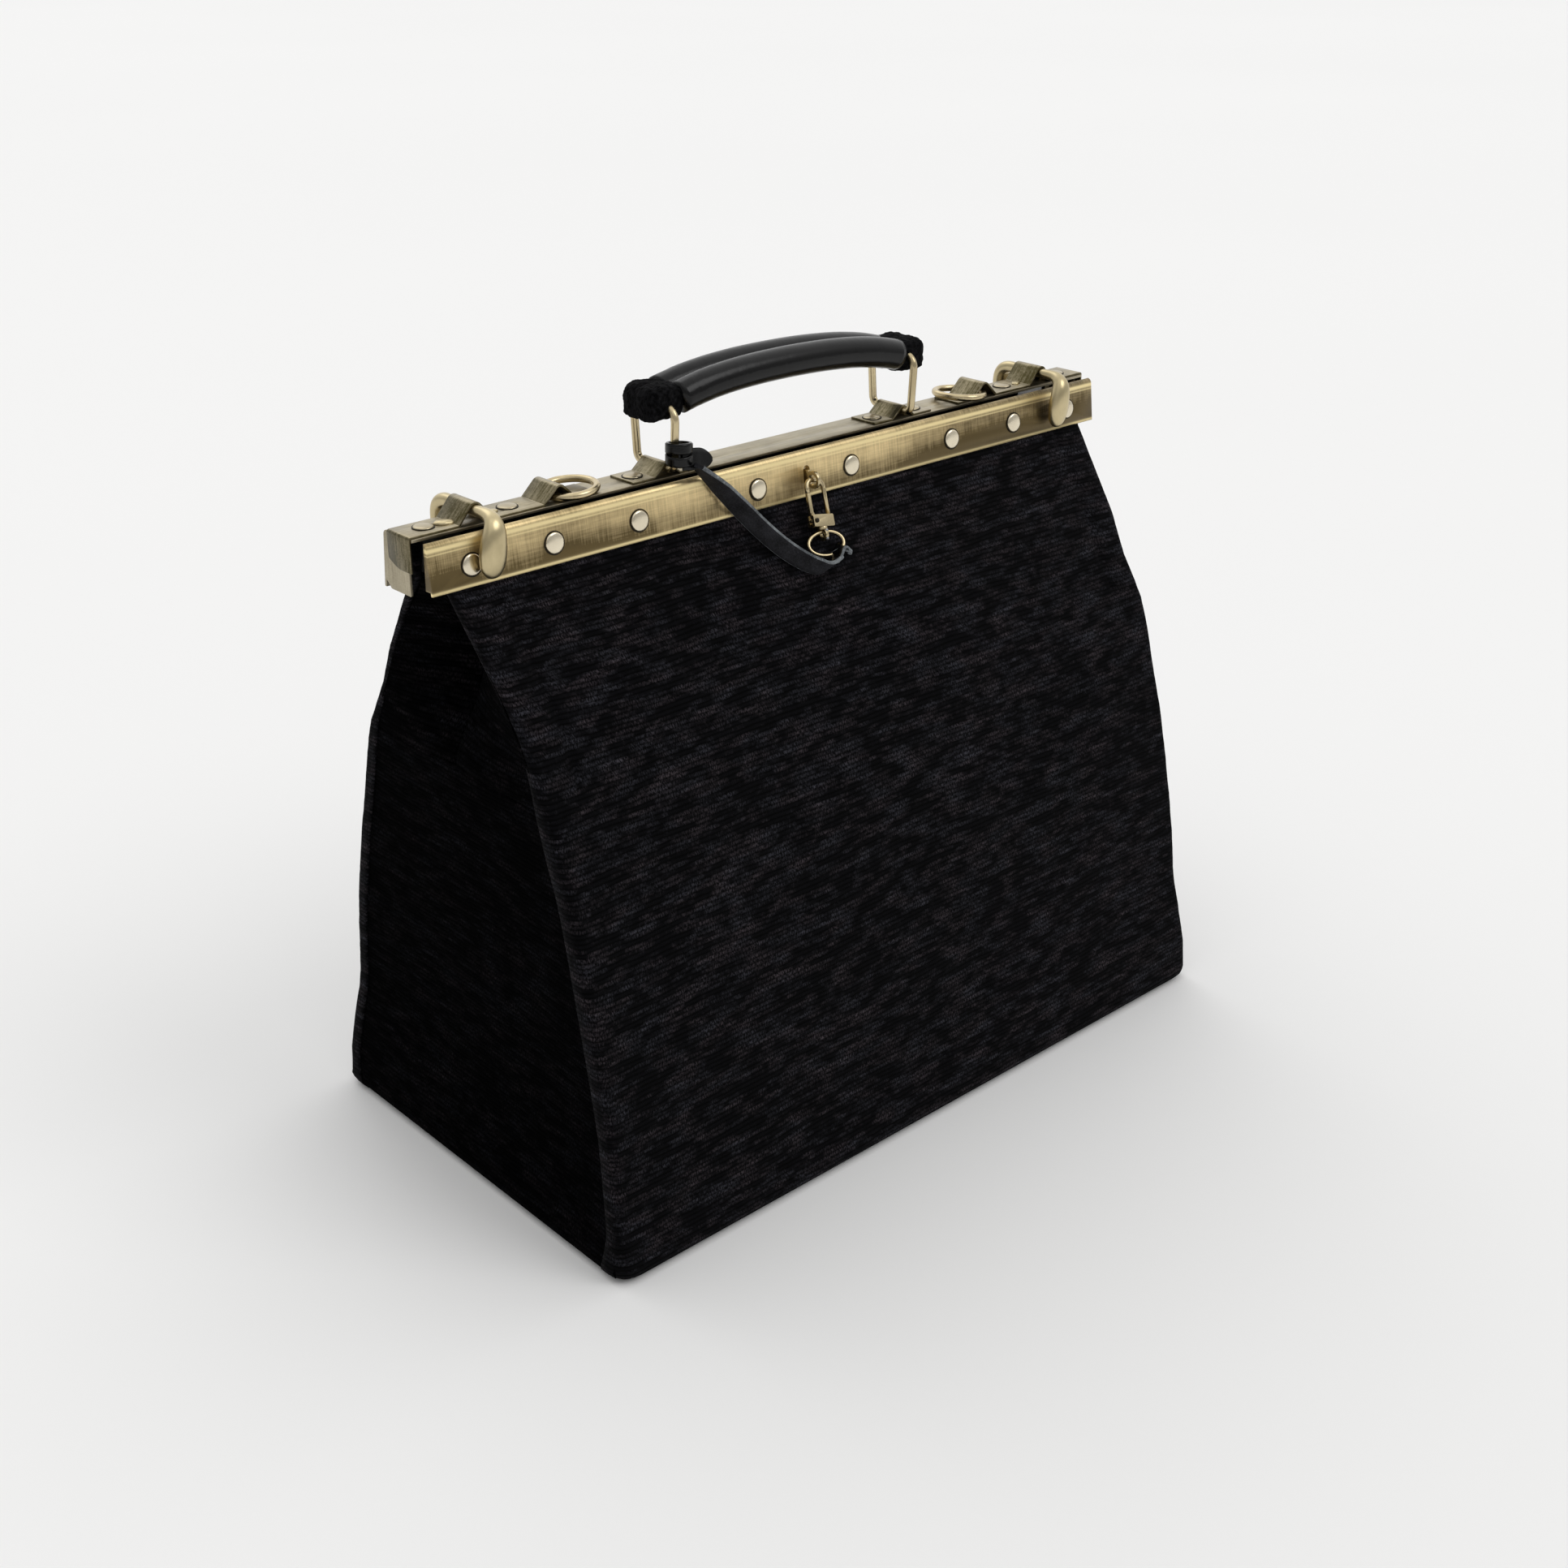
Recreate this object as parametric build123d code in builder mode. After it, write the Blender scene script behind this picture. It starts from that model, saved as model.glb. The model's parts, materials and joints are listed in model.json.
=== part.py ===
from build123d import *
from math import atan2, cos, hypot, pi, radians, sin, tan
import os

# Doctor bag with a hinged brass frame. Millimetres; X runs along the frame, +Y points away
# from the front, Z up, and the origin is the middle of the base.

# Cloth body: height, half length and half depth, from the floor to the shoulder fold
lower_sections = [
    (0, 191.8, 108.6),
    (5, 193.2, 109.8),
    (35, 189.5, 104.4),
    (80, 187.0, 96.6),
    (140, 186.8, 84.8),
    (203.5, 186.6, 66.4),
]
corner = 8.0  # rounding of the four upright corners
cloth = 3.0  # thickness of the stiffened cloth
gap = 0.3  # between soft pieces that do not touch
shoulder = lower_sections[-1][0]
board_size = (376, 204, 3)

# Upper cloth panels, carried by the frame: height, half length, front and rear depth
upper_sections = [
    (214.0, 186.1, 60.3, 60.5),
    (225, 185.2, 53.4, 54.2),
    (245, 186.2, 42.0, 43.9),
    (265, 187.6, 27.2, 30.0),
]
hem_top = 299.0
hem_half_length = 189.3

# Folded gussets: height, half length, half depth at the edges, half length at the fold
gusset_sections = [
    (shoulder, 186.6, 58.4, 186.4),
    (213, 186.3, 54.0, 184.8),
    (245, 187.0, 38.2, 168.0),
    (270, 188.0, 19.0, 173.0),
    (279, 188.5, 10.0, 181.0),
]
gusset_cloth = 2.0

# Hinge of each frame half: pins along X through the arms' eyes
pivot_y, pivot_z = 56.0, 207.5
pin_radius, running_fit = 1.5, 0.05
eye_radius = 3.2
arm_inner, arm_outer, arm_sheet = 168.3, 181.3, 2.0
spreader_inner, spreader_outer = 181.5, 183.5

# Brass frame
sheet = 1.2
bend = 2.5
frame_half = 200.0
front_half_length = 198.5
front_bottom, front_top = (-14.6, 284.2), (-12.3, 304.9)
front_lip, rear_lip = -5.3, -4.9
rear_bottom, rear_top = (18.0, 281.2), (15.6, 305.4)
arm_lip = -0.8
slot_width, slot_height, slot_z = 3.9, 10.0, 293.2
rivet_x, rivet_z = [28.5, 95, 139, 181], 293.0
rivet_radius, rivet_rise, shank_radius = 4.0, 1.7, 1.5
rivet_sides, shank_sides = 12, 8  # flats of what repeats
rivet_profile = [(0, 1.0), (0.6, 0.8), (1.0, 0.4)]  # height and width of a head, as shares
wire_sides, ring_sides, roll_sides = 8, 24, 16  # flats of wires, rings and rolls

# Plates riveted on the top of the rear bar, each with a tent-shaped bearing
plate_sheet = 1.0
plate_middle, plate_half_width = 3.8, 8.0
deck = rear_top[1]
hook_x, hook_half, hook_rise, hook_round = 169.3, 8.0, 9.3, 2.5
ring_x, ring_half, ring_rise, ring_round = 128.0, 8.0, 7.6, 2.2
handle_x, handle_half, handle_rise, handle_round = 71.5, 6.8, 5.75, 1.7
end_plate_start, end_plate_drop = 109.0, 291.5
handle_tab = 12.0
top_rivet_x = [58.5, 84.5, 149, 189]
prong_x = [157.9, 180.7]

# Wire rings, hooks and grip
strap_ring_radius, strap_wire = 11.8, 1.5
strap_ring_x, strap_ring_z, strap_ring_tilt = 129.9, 307.3, 4.0
handle_wire = 1.6
ring_foot, ring_head, ring_height = 12.4, 14.2, 26.9
hook_rod = 2.4
paddle_thickness, paddle_rounding, paddle_front, paddle_rear = 4.2, 1.6, -15.6, 20.2
roll_radius, roll_offset, core_radius = 7.0, 6.8, 5.2
sleeve_half, sleeve_end_z, sleeve_mid_z = 65.0, 337.0, 343.6
grip_end = (22.0, 16.0, 6.5)  # length, height and rounding of each cloth end
grip_end_half_width = 11.7

# Snap hook on the staple of the front bar, lengths measured along it from the staple's eye
staple_eye, staple_sheet = (0.8, -18.0, 292.6), 1.7
clasp_direction = (0.15, 0.42, 0.895)
shackle_half, shackle_wire = 5.1, 1.1
block_top, block_bottom, block_depth = -16.0, -21.4, 4.4
gate_top, gate_foot, gate_pin, tang = -6.0, -15.0, 0.6, 1.7
swivel_eye = -25.0
split_ring_radius, split_ring_wire, split_ring_tilt = 8.0, 0.8, 11.0

# Leather strap: route of its centre line from the hitch to the split ring
strap_width, strap_thickness = 9.5, 1.8
strap_facing = Vector(0, -0.94, 0.34)
strap_route = [
    (-66.5, -17.6, 312.0),
    (-57.5, -18.0, 303.6),
    (-46.3, -19.6, 291.4),
    (-35.2, -24.0, 278.0),
    (-25.6, -31.0, 267.4),
    (-16.5, -37.9, 260.6),
    (-8.5, -41.0, 258.4),
    (-4.2, -41.4, 258.4),
]
hitch_middle, hitch_radius = (-70.2, -10.6), 6.0
hitch_heights, hitch_band = (312.3, 316.9), 4.3
loop_angle, loop_radius, loop_half = -62.0, 2.8, 2.2


def tent_axis(half, rise, rounding):
    # height over the deck of the centre of a tent's rounded ridge
    return rise - rounding / cos(atan2(rise, half))


def tent(x, half, rise):
    # foot, ridge and foot of one tent, along +X
    return [(x - half, deck), (x, deck + rise), (x + half, deck)]


hook_z = deck + tent_axis(hook_half, hook_rise, hook_round)
handle_z = deck + tent_axis(handle_half, handle_rise, handle_round)
grip_bar_z = handle_z + ring_height
front_lean = (front_top[0] - front_bottom[0]) / (front_top[1] - front_bottom[1])
rear_lean = (rear_top[0] - rear_bottom[0]) / (rear_top[1] - rear_bottom[1])
hem_gap, arm_gap = 0.05, 0.45


def front_face(z):
    return front_bottom[0] + front_lean * (z - front_bottom[1])


def rear_face(z):
    return rear_bottom[0] + rear_lean * (z - rear_bottom[1])


front_plane = Plane(
    origin=(0, front_face(rivet_z), rivet_z), x_dir=(1, 0, 0), z_dir=(0, -1, front_lean)
)
rear_plane = Plane(
    origin=(0, rear_face(rivet_z), rivet_z), x_dir=(-1, 0, 0), z_dir=(0, 1, -rear_lean)
)
deck_plane = Plane(origin=(0, plate_middle, deck + plate_sheet))


def rounded(corners, radii, steps=3):
    # closed run of corners, each replaced by a bend of equal chords
    points = []
    for n, (here, radius) in enumerate(zip(corners, radii)):
        back = (corners[n - 1] - here).normalized()
        ahead = (corners[(n + 1) % len(corners)] - here).normalized()
        half = radians(back.get_angle(ahead)) / 2
        centre = here + (back + ahead).normalized() * (radius / sin(half))
        start = here + back * (radius / tan(half)) - centre
        finish = here + ahead * (radius / tan(half)) - centre
        turn = pi - 2 * half
        for k in range(steps + 1):
            share = k / steps
            mixed = start * sin((1 - share) * turn) + finish * sin(share * turn)
            points.append(centre + mixed * (1 / sin(turn)))
    return points


def wire(points, radius, closed=True):
    # wire mitred at the points, its section drawn with flats
    if closed:
        middle = (points[-1] + points[0]) * 0.5
        points = [middle, *points, middle]
    with BuildPart() as bent:
        with BuildLine():
            run = Polyline(*points)
        with BuildSketch(Plane(origin=run @ 0, z_dir=run % 0)):
            RegularPolygon(radius, wire_sides)
        sweep(transition=Transition.RIGHT)
    return bent.part


def ring(place, radius, wire_radius):
    # wire ring whose first side lies through the origin of its place
    turns = [2 * pi * (n + 0.5) / ring_sides for n in range(ring_sides)]
    reach = radius / cos(pi / ring_sides)
    spots = [(reach * cos(turn) - radius, reach * sin(turn), 0) for turn in turns]
    return wire([place.from_local_coords(Vector(*spot)) for spot in spots], wire_radius)


def save(piece, name):
    piece.label = name
    export_step(piece, f"parts/{name}.step")


def save_mirrored(piece, name, about):
    with BuildPart() as other:
        mirror(piece, about=about)
    save(other.part, name)


os.makedirs("parts", exist_ok=True)

# ---- lower bag ----

with BuildPart() as base_panel:
    height, length, depth = lower_sections[0]
    with BuildSketch():
        inset = cloth + gap
        RectangleRounded(2 * (length - inset), 2 * (depth - inset), corner - cloth)
    extrude(amount=cloth)
save(base_panel.part, "base_panel")

with BuildPart() as base_board:
    with BuildSketch(Plane.XY.offset(cloth)):
        RectangleRounded(board_size[0], board_size[1], corner)
    extrude(amount=board_size[2])
save(base_board.part, "base_board")

# the front panel wraps round the upright corners, and the gussets fill in between
with BuildPart() as front_lower_panel:
    for height, length, depth in lower_sections:
        with BuildSketch(Plane.XY.offset(height)):
            RectangleRounded(2 * length, 2 * depth, corner)
            inner = corner - cloth
            RectangleRounded(2 * (length - cloth), 2 * (depth - cloth), inner, mode=Mode.SUBTRACT)
            with Locations((0, corner)):
                Rectangle(2.2 * length, 2 * depth, mode=Mode.SUBTRACT)
    loft(ruled=True)
save(front_lower_panel.part, "front_lower_panel")
save_mirrored(front_lower_panel.part, "rear_lower_panel", Plane.XZ)

# the gusset follows the end's outline in one view and the panels' slope in the other
with BuildPart() as right_lower_gusset:
    outline = [(length, height) for height, length, depth in lower_sections]
    inside = [(length - cloth, height) for length, height in outline]
    with BuildSketch(Plane.XZ):
        with BuildLine():
            Polyline(*outline, *reversed(inside), close=True)
        make_face()
    extrude(amount=lower_sections[1][2], both=True)
    edge = [(depth - corner, height) for height, length, depth in lower_sections]
    with BuildSketch(Plane.YZ.offset(lower_sections[-1][1] - 2 * cloth)):
        with BuildLine():
            Polyline(*edge, *[(-y, z) for y, z in reversed(edge)], close=True)
        make_face()
    extrude(amount=4 * cloth, mode=Mode.INTERSECT)
save(right_lower_gusset.part, "right_lower_gusset")
save_mirrored(right_lower_gusset.part, "left_lower_gusset", Plane.YZ)

# creased along its middle and folded inwards, every facet flat
with BuildPart() as right_upper_gusset:
    outer = []
    for height, edge, depth, fold in gusset_sections:
        middle = 1.5 * (height - shoulder) / (gusset_sections[-1][0] - shoulder)
        row = [(edge, middle - depth), (fold, middle), (edge, middle + depth)]
        outer.append([Vector(x, y, height) for x, y in row])
    inner = [[point - Vector(gusset_cloth, 0, 0) for point in row] for row in outer]
    facets = [outer[0] + inner[0][::-1], outer[-1] + inner[-1][::-1]]
    for low, high in [*zip(outer, outer[1:]), *zip(inner, inner[1:])]:
        for i, k in ((0, 1), (2, 1)):
            facets += [[low[i], low[k], high[k]], [low[i], high[k], high[i]]]
    for i in (0, 2):
        for n in range(len(outer) - 1):
            facets.append([outer[n][i], outer[n + 1][i], inner[n + 1][i], inner[n][i]])
    add(Solid(Shell([Face(Wire.make_polygon(points)) for points in facets])))
save(right_upper_gusset.part, "right_upper_gusset")
save_mirrored(right_upper_gusset.part, "left_upper_gusset", Plane.YZ)

# soft fold between the lower and the upper front panel
with BuildPart() as front_fold:
    width = 2 * (lower_sections[-1][1] - corner)
    for height, depth in [(shoulder, 66.4), (pivot_z, 64.9), (214 - gap, 60.6)]:
        with BuildSketch(Plane.XY.offset(height)):
            with Locations((0, cloth / 2 - depth)):
                Rectangle(width, cloth)
    loft(ruled=True)
save(front_fold.part, "front_fold")
save_mirrored(front_fold.part, "rear_fold", Plane.XZ)

# a flat steel strap inside each gusset carries the pins of both halves
with BuildPart() as right_spreader:
    with BuildSketch(Plane.YZ.offset(spreader_inner)):
        with BuildLine():
            Polyline((-60, pivot_z), (-53, 190), (53, 190), (60, pivot_z), (52, pivot_z))
            Polyline((52, pivot_z), (45, 200), (-45, 200), (-52, pivot_z), (-60, pivot_z))
        make_face()
        with Locations((-pivot_y, pivot_z), (pivot_y, pivot_z)):
            Circle(4)
            Circle(pin_radius, mode=Mode.SUBTRACT)
    extrude(amount=spreader_outer - spreader_inner)
save(right_spreader.part, "right_spreader")
save_mirrored(right_spreader.part, "left_spreader", Plane.YZ)

with BuildPart() as hinge_pins:
    pin_start = arm_inner - 0.3
    for y in (-pivot_y, pivot_y):
        with BuildSketch(Plane.YZ.offset(pin_start)):
            with Locations((y, pivot_z)):
                Circle(pin_radius)
        extrude(amount=spreader_outer - pin_start)
        with BuildSketch(Plane.YZ.offset(pin_start)):
            with Locations((y, pivot_z)):
                Circle(pin_radius + 1.2)
        extrude(amount=-1)
    mirror(about=Plane.YZ)
save(hinge_pins.part, "hinge_pins")

# ---- the two frame halves ----


def upper_panel(side):
    # cloth panel from the shoulder fold up to the hem behind the bar
    with BuildPart() as panel:
        sections = [(z, x, front if side < 0 else rear) for z, x, front, rear in upper_sections]
        for z in ((front_bottom if side < 0 else rear_bottom)[1] - 0.5, hem_top):
            face = -front_face(z) if side < 0 else rear_face(z)
            lean = hypot(1, front_lean if side < 0 else rear_lean)
            sections.append((z, hem_half_length, face - sheet * lean - hem_gap))
        for z, x, depth in sections:
            with BuildSketch(Plane.XY.offset(z)):
                with Locations((0, side * (depth - cloth / 2))):
                    Rectangle(2 * x, cloth)
        loft(ruled=True)
        if side < 0:
            # window in the hem for the foot of the staple
            with Locations((0, front_face(slot_z), slot_z)):
                Box(13, 12, 12, mode=Mode.SUBTRACT)
    return panel.part


save(upper_panel(-1), "front_upper_panel")
save(upper_panel(1), "rear_upper_panel")

rivet_spots = [(x, 0) for x in rivet_x] + [(-x, 0) for x in rivet_x]
top_spots = [(x, 0) for x in top_rivet_x] + [(-x, 0) for x in top_rivet_x]

with BuildPart() as front_bar:
    with BuildSketch(Plane.YZ):
        with BuildLine():
            FilletPolyline(front_bottom, front_top, (front_lip, front_top[1]), radius=bend)
            offset(amount=sheet, side=Side.RIGHT)
        make_face()
    extrude(amount=front_half_length, both=True)
    # narrow returns close the two ends of the face
    with BuildSketch(Plane.YZ.offset(front_half_length - sheet)):
        with BuildLine():
            Polyline(
                (front_face(285.6) + 0.6, 285.6),
                (front_face(285.6) + 4.6, 285.6),
                (front_face(303.9) + 6.4, 303.9),
                (front_face(303.9) + 1.4, 303.9),
                (front_face(302.0) + 0.6, 302.0),
                close=True,
            )
        make_face()
    returns = extrude(amount=sheet)
    mirror(returns, about=Plane.YZ)
    with BuildSketch(front_plane):
        with Locations(*rivet_spots):
            RegularPolygon(shank_radius + running_fit, shank_sides)
        with Locations((staple_eye[0], slot_z - rivet_z)):
            SlotOverall(slot_height, slot_width, rotation=90)
    extrude(amount=-2 * sheet, mode=Mode.SUBTRACT)
save(front_bar.part, "front_bar")

with BuildPart() as rear_bar:
    with BuildSketch(Plane.YZ):
        with BuildLine():
            FilletPolyline(rear_bottom, rear_top, (rear_lip, rear_top[1]), radius=bend)
            offset(amount=sheet, side=Side.LEFT)
        make_face()
    extrude(amount=frame_half, both=True)
    # end walls, rounded at the lower rear corner
    with BuildSketch(Plane.YZ.offset(frame_half - sheet)):
        with BuildLine():
            Polyline(
                (arm_lip, rear_bottom[1]),
                (rear_bottom[0] - 5, rear_bottom[1]),
                (rear_face(rear_bottom[1] + 4) - 0.4, rear_bottom[1] + 4),
                (rear_face(302) - 0.4, 302),
                (rear_face(304.5) - 2, 304.6),
                (arm_lip, 304.6),
                close=True,
            )
        make_face()
    walls = extrude(amount=sheet)
    mirror(walls, about=Plane.YZ)
    with BuildSketch(rear_plane):
        with Locations(*rivet_spots):
            RegularPolygon(shank_radius + running_fit, shank_sides)
    extrude(amount=-2 * sheet, mode=Mode.SUBTRACT)
    with BuildSketch(deck_plane):
        with Locations(*top_spots):
            RegularPolygon(shank_radius + running_fit, shank_sides)
    extrude(amount=-2 * sheet - plate_sheet, mode=Mode.SUBTRACT)
save(rear_bar.part, "rear_bar")


def rivets(plane, spots, radius, rise, shank):
    # low domed rivets whose heads seat on the plane; as they repeat, they are drawn with flats
    with BuildPart(mode=Mode.PRIVATE) as rivet:
        for height, share in rivet_profile:
            with BuildSketch(Plane.XY.offset(height * rise)):
                RegularPolygon(share * radius, rivet_sides)
        loft(ruled=True)
        with BuildSketch():
            RegularPolygon(shank_radius, shank_sides)
        extrude(amount=-shank)
    with BuildPart() as group:
        with Locations(plane):
            with Locations(*spots):
                add(rivet.part)
    return group.part


hem_stack = sheet + cloth + arm_sheet + 0.2
save(rivets(front_plane, rivet_spots, rivet_radius, rivet_rise, hem_stack), "front_rivets")
save(rivets(rear_plane, rivet_spots, rivet_radius, rivet_rise, hem_stack), "rear_rivets")


def frame_arm(side):
    # flat steel arm: eye round the hinge pin, straight stay, tab riveted behind the bar
    face = front_face if side < 0 else rear_face
    behind = cloth + sheet * hypot(1, front_lean) + hem_gap + arm_gap
    foot_z = (front_bottom if side < 0 else rear_bottom)[1]
    knee = side * (side * face(foot_z) - behind)
    head = side * (side * face(hem_top) - behind)
    with BuildPart() as arm:
        with BuildSketch(Plane.YZ.offset(arm_inner)):
            with BuildLine():
                FilletPolyline(
                    (side * (pivot_y + 1.2), pivot_z + 2.1), (knee, foot_z), (head, hem_top), radius=6
                )
                offset(amount=arm_sheet, side=Side.RIGHT if side < 0 else Side.LEFT)
            make_face()
            with Locations((side * pivot_y, pivot_z)):
                Circle(eye_radius)
                Circle(pin_radius + running_fit, mode=Mode.SUBTRACT)
        extrude(amount=arm_outer - arm_inner)
        # the tab is wider than the stay, so that the end rivet holds it
        low = foot_z + 4
        lean = -side * arm_sheet
        with BuildSketch(Plane.YZ.offset(arm_outer)):
            with BuildLine():
                Polyline(
                    (side * (side * face(low) - behind), low),
                    (head, hem_top),
                    (head + lean, hem_top),
                    (side * (side * face(low) - behind) + lean, low),
                    close=True,
                )
            make_face()
        extrude(amount=5)
        with BuildSketch(front_plane if side < 0 else rear_plane):
            with Locations((-side * rivet_x[-1], 0)):
                RegularPolygon(shank_radius + running_fit, shank_sides)
        extrude(amount=-2 * hem_stack, mode=Mode.SUBTRACT)
    return arm.part


for side, half in ((-1, "front"), (1, "rear")):
    arm = frame_arm(side)
    save(arm, f"{half}_right_arm")
    save_mirrored(arm, f"{half}_left_arm", Plane.YZ)

# ---- plates on the rear bar ----


def tent_plate(points, radii):
    # a strip bent along the points, one sheet thick on their upper side
    with BuildPart() as plate:
        with BuildSketch(Plane.XZ.offset(-plate_middle)):
            with BuildLine():
                FilletPolyline(*points, radius=radii)
                offset(amount=plate_sheet, side=Side.LEFT)
            make_face()
        extrude(amount=plate_half_width, both=True)
        with BuildSketch(deck_plane):
            with Locations(*top_spots):
                RegularPolygon(shank_radius + running_fit, shank_sides)
        extrude(amount=-2 * plate_sheet, mode=Mode.SUBTRACT)
    return plate.part


end_points = [(end_plate_start, deck)]
end_points += tent(ring_x, ring_half, ring_rise) + tent(hook_x, hook_half, hook_rise)
end_points += [(frame_half, deck), (frame_half, end_plate_drop)]
end_radii = [1.5, ring_round, 1.5, 1.5, hook_round, 1.5, 0.3]
end_plate = tent_plate(end_points, end_radii)
with BuildPart() as right_end_plate:
    add(end_plate)
    # the flap over the end has a shallow curved lower edge
    with BuildSketch(Plane.YZ.offset(frame_half - 2)):
        with BuildLine():
            low = (plate_middle, end_plate_drop)
            edge = ThreePointArc(
                (plate_middle - 9, end_plate_drop - 0.5),
                (low[0] + 1, low[1] + 0.2),
                (plate_middle + 9, end_plate_drop + 4),
            )
            Polyline(edge @ 1, (low[0] + 9, low[1] - 5), (low[0] - 9, low[1] - 5), edge @ 0)
        make_face()
    extrude(amount=5, mode=Mode.SUBTRACT)
save(right_end_plate.part, "right_end_plate")
save_mirrored(right_end_plate.part, "left_end_plate", Plane.YZ)

reach = handle_half + handle_tab
handle_points = [(handle_x - reach, deck)] + tent(handle_x, handle_half, handle_rise)
handle_points += [(handle_x + reach, deck)]
handle_plate = tent_plate(handle_points, [1.5, handle_round, 1.5])
save(handle_plate, "right_handle_plate")
save_mirrored(handle_plate, "left_handle_plate", Plane.YZ)

save(rivets(deck_plane, top_spots, 4.2, 1.3, plate_sheet + sheet), "top_rivets")

# clinched tongues beside the hook bearings
with BuildPart() as top_prongs:
    with BuildSketch(deck_plane):
        with Locations(*[(s * x, 2.4) for s in (-1, 1) for x in prong_x]):
            Rectangle(4.0, 2.4, rotation=25)
    extrude(amount=0.9)
save(top_prongs.part, "top_prongs")

# ---- turn hooks ----

# comma-shaped cast paddle, its back on the XZ plane and its rod at the origin
with BuildPart() as paddle:
    with BuildSketch(Plane.XZ):
        with BuildLine():
            flank = ThreePointArc((0.2, 2.5), (3.6, -9), (-2.2, -24.2))
            ThreePointArc(flank @ 1, (-6.6, -12.5), flank @ 0)
        make_face()
    extrude(amount=paddle_thickness)
    chamfer(paddle.faces().sort_by(Axis.Y)[0].edges(), paddle_rounding)


def hook(x):
    # rod under the bearing with a paddle at each end, the rear one turned round
    with BuildPart() as turn_hook:
        with BuildSketch(Plane.XZ.offset(-paddle_rear)):
            with Locations((x, hook_z)):
                Circle(hook_rod)
        extrude(amount=paddle_rear - paddle_front)
        with Locations((x, paddle_front, hook_z), Location((x, paddle_rear, hook_z), (0, 0, 180))):
            add(paddle.part)
    return turn_hook.part


save(hook(-hook_x), "left_hook")
save(hook(hook_x), "right_hook")

# ---- strap rings, lying towards the middle of the bag ----

ring_place = Plane(origin=(strap_ring_x, plate_middle, strap_ring_z)).rotated((0, strap_ring_tilt, 0))
right_strap_ring = ring(ring_place, strap_ring_radius, strap_wire)
save(right_strap_ring, "right_strap_ring")
save_mirrored(right_strap_ring, "left_strap_ring", Plane.YZ)

# ---- handle ----

loop_corners = [
    Vector(handle_x, plate_middle + ring_foot, handle_z),
    Vector(handle_x, plate_middle + ring_head, grip_bar_z),
    Vector(handle_x, plate_middle - ring_head, grip_bar_z),
    Vector(handle_x, plate_middle - ring_foot, handle_z),
]
right_handle_ring = wire(rounded(loop_corners, [4, 6, 6, 4]), handle_wire)
save(right_handle_ring, "right_handle_ring")
save_mirrored(right_handle_ring, "left_handle_ring", Plane.YZ)

roll_spots = [(-roll_offset, 0), (roll_offset, 0)]


def double_roll(outer, inner=None):
    # two rolls side by side, swept along the arch of the grip
    with BuildPart() as rolls:
        with BuildLine(Plane.XZ.offset(-plate_middle)):
            arch = Polyline(
                (-sleeve_half, sleeve_end_z),
                (-sleeve_half / 2, sleeve_mid_z - 1.2),
                (0, sleeve_mid_z),
                (sleeve_half / 2, sleeve_mid_z - 1.2),
                (sleeve_half, sleeve_end_z),
            )
        with BuildSketch(Plane(origin=arch @ 0, x_dir=(0, 1, 0), z_dir=arch % 0)):
            with Locations(*roll_spots):
                RegularPolygon(outer, roll_sides)
            if inner:
                with Locations(*roll_spots):
                    RegularPolygon(inner, roll_sides, mode=Mode.SUBTRACT)
        sweep(transition=Transition.RIGHT)
    return rolls.part


save(double_roll(roll_radius, core_radius), "grip_sleeve")
save(double_roll(core_radius - 0.05), "grip_core")

with BuildPart() as right_grip_end:
    length, height, rounding = grip_end
    start = sleeve_half + 0.4
    outline = [Vector(x, z) for x, z in ((-1, -1), (1, -1), (1, 1), (-1, 1))]
    outline = [Vector(point.X * length / 2, point.Y * height / 2) for point in outline]
    with BuildSketch(Plane.XZ.offset(-plate_middle)):
        with Locations((start + length / 2, grip_bar_z + 0.6)):
            Polygon(*rounded(outline, 4 * [rounding]), align=None)
    extrude(amount=grip_end_half_width, both=True)
    chamfer(right_grip_end.faces().filter_by(Axis.Y).edges(), 2.5)
    # bearing for the ring, flared where the wire turns down, every facet flat
    bore = handle_wire + 2 * running_fit
    stations = [(-20, 13.6), (-grip_end_half_width, 5.2), (6 - ring_head, bore)]
    stations += [(-y, radius) for y, radius in reversed(stations)]
    rows = []
    for y, radius in stations:
        spots = [2 * pi * (n + 0.5) / rivet_sides for n in range(rivet_sides)]
        reach = radius / cos(pi / rivet_sides)
        row = [(handle_x + reach * cos(t), plate_middle + y, grip_bar_z + reach * sin(t)) for t in spots]
        rows.append([Vector(*spot) for spot in row])
    facets = [rows[0], rows[-1][::-1]]
    for near, far in zip(rows, rows[1:]):
        facets += [[near[n - 1], near[n], far[n], far[n - 1]] for n in range(rivet_sides)]
    bearing = Solid(Shell([Face(Wire.make_polygon(points)) for points in facets]))
    add(bearing, mode=Mode.SUBTRACT)
save(right_grip_end.part, "right_grip_end")
save_mirrored(right_grip_end.part, "left_grip_end", Plane.YZ)

# ---- snap hook on its staple ----

with BuildPart() as clasp_staple:
    with BuildSketch(Plane(origin=staple_eye, z_dir=(1, 0, 0))):
        Circle(4.0)
        Circle(2.4, mode=Mode.SUBTRACT)
    extrude(amount=staple_sheet / 2, both=True)
    with Locations((staple_eye[0], front_face(slot_z) + 0.4, slot_z)):
        Box(staple_sheet, 4.4, 6.4)
    foot_plane = front_plane.offset(-sheet - hem_gap)
    with BuildSketch(foot_plane):
        with Locations((staple_eye[0], slot_z - rivet_z)):
            RectangleRounded(10, 10.5, 1)
    extrude(amount=-1)
save(clasp_staple.part, "clasp_staple")

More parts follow.
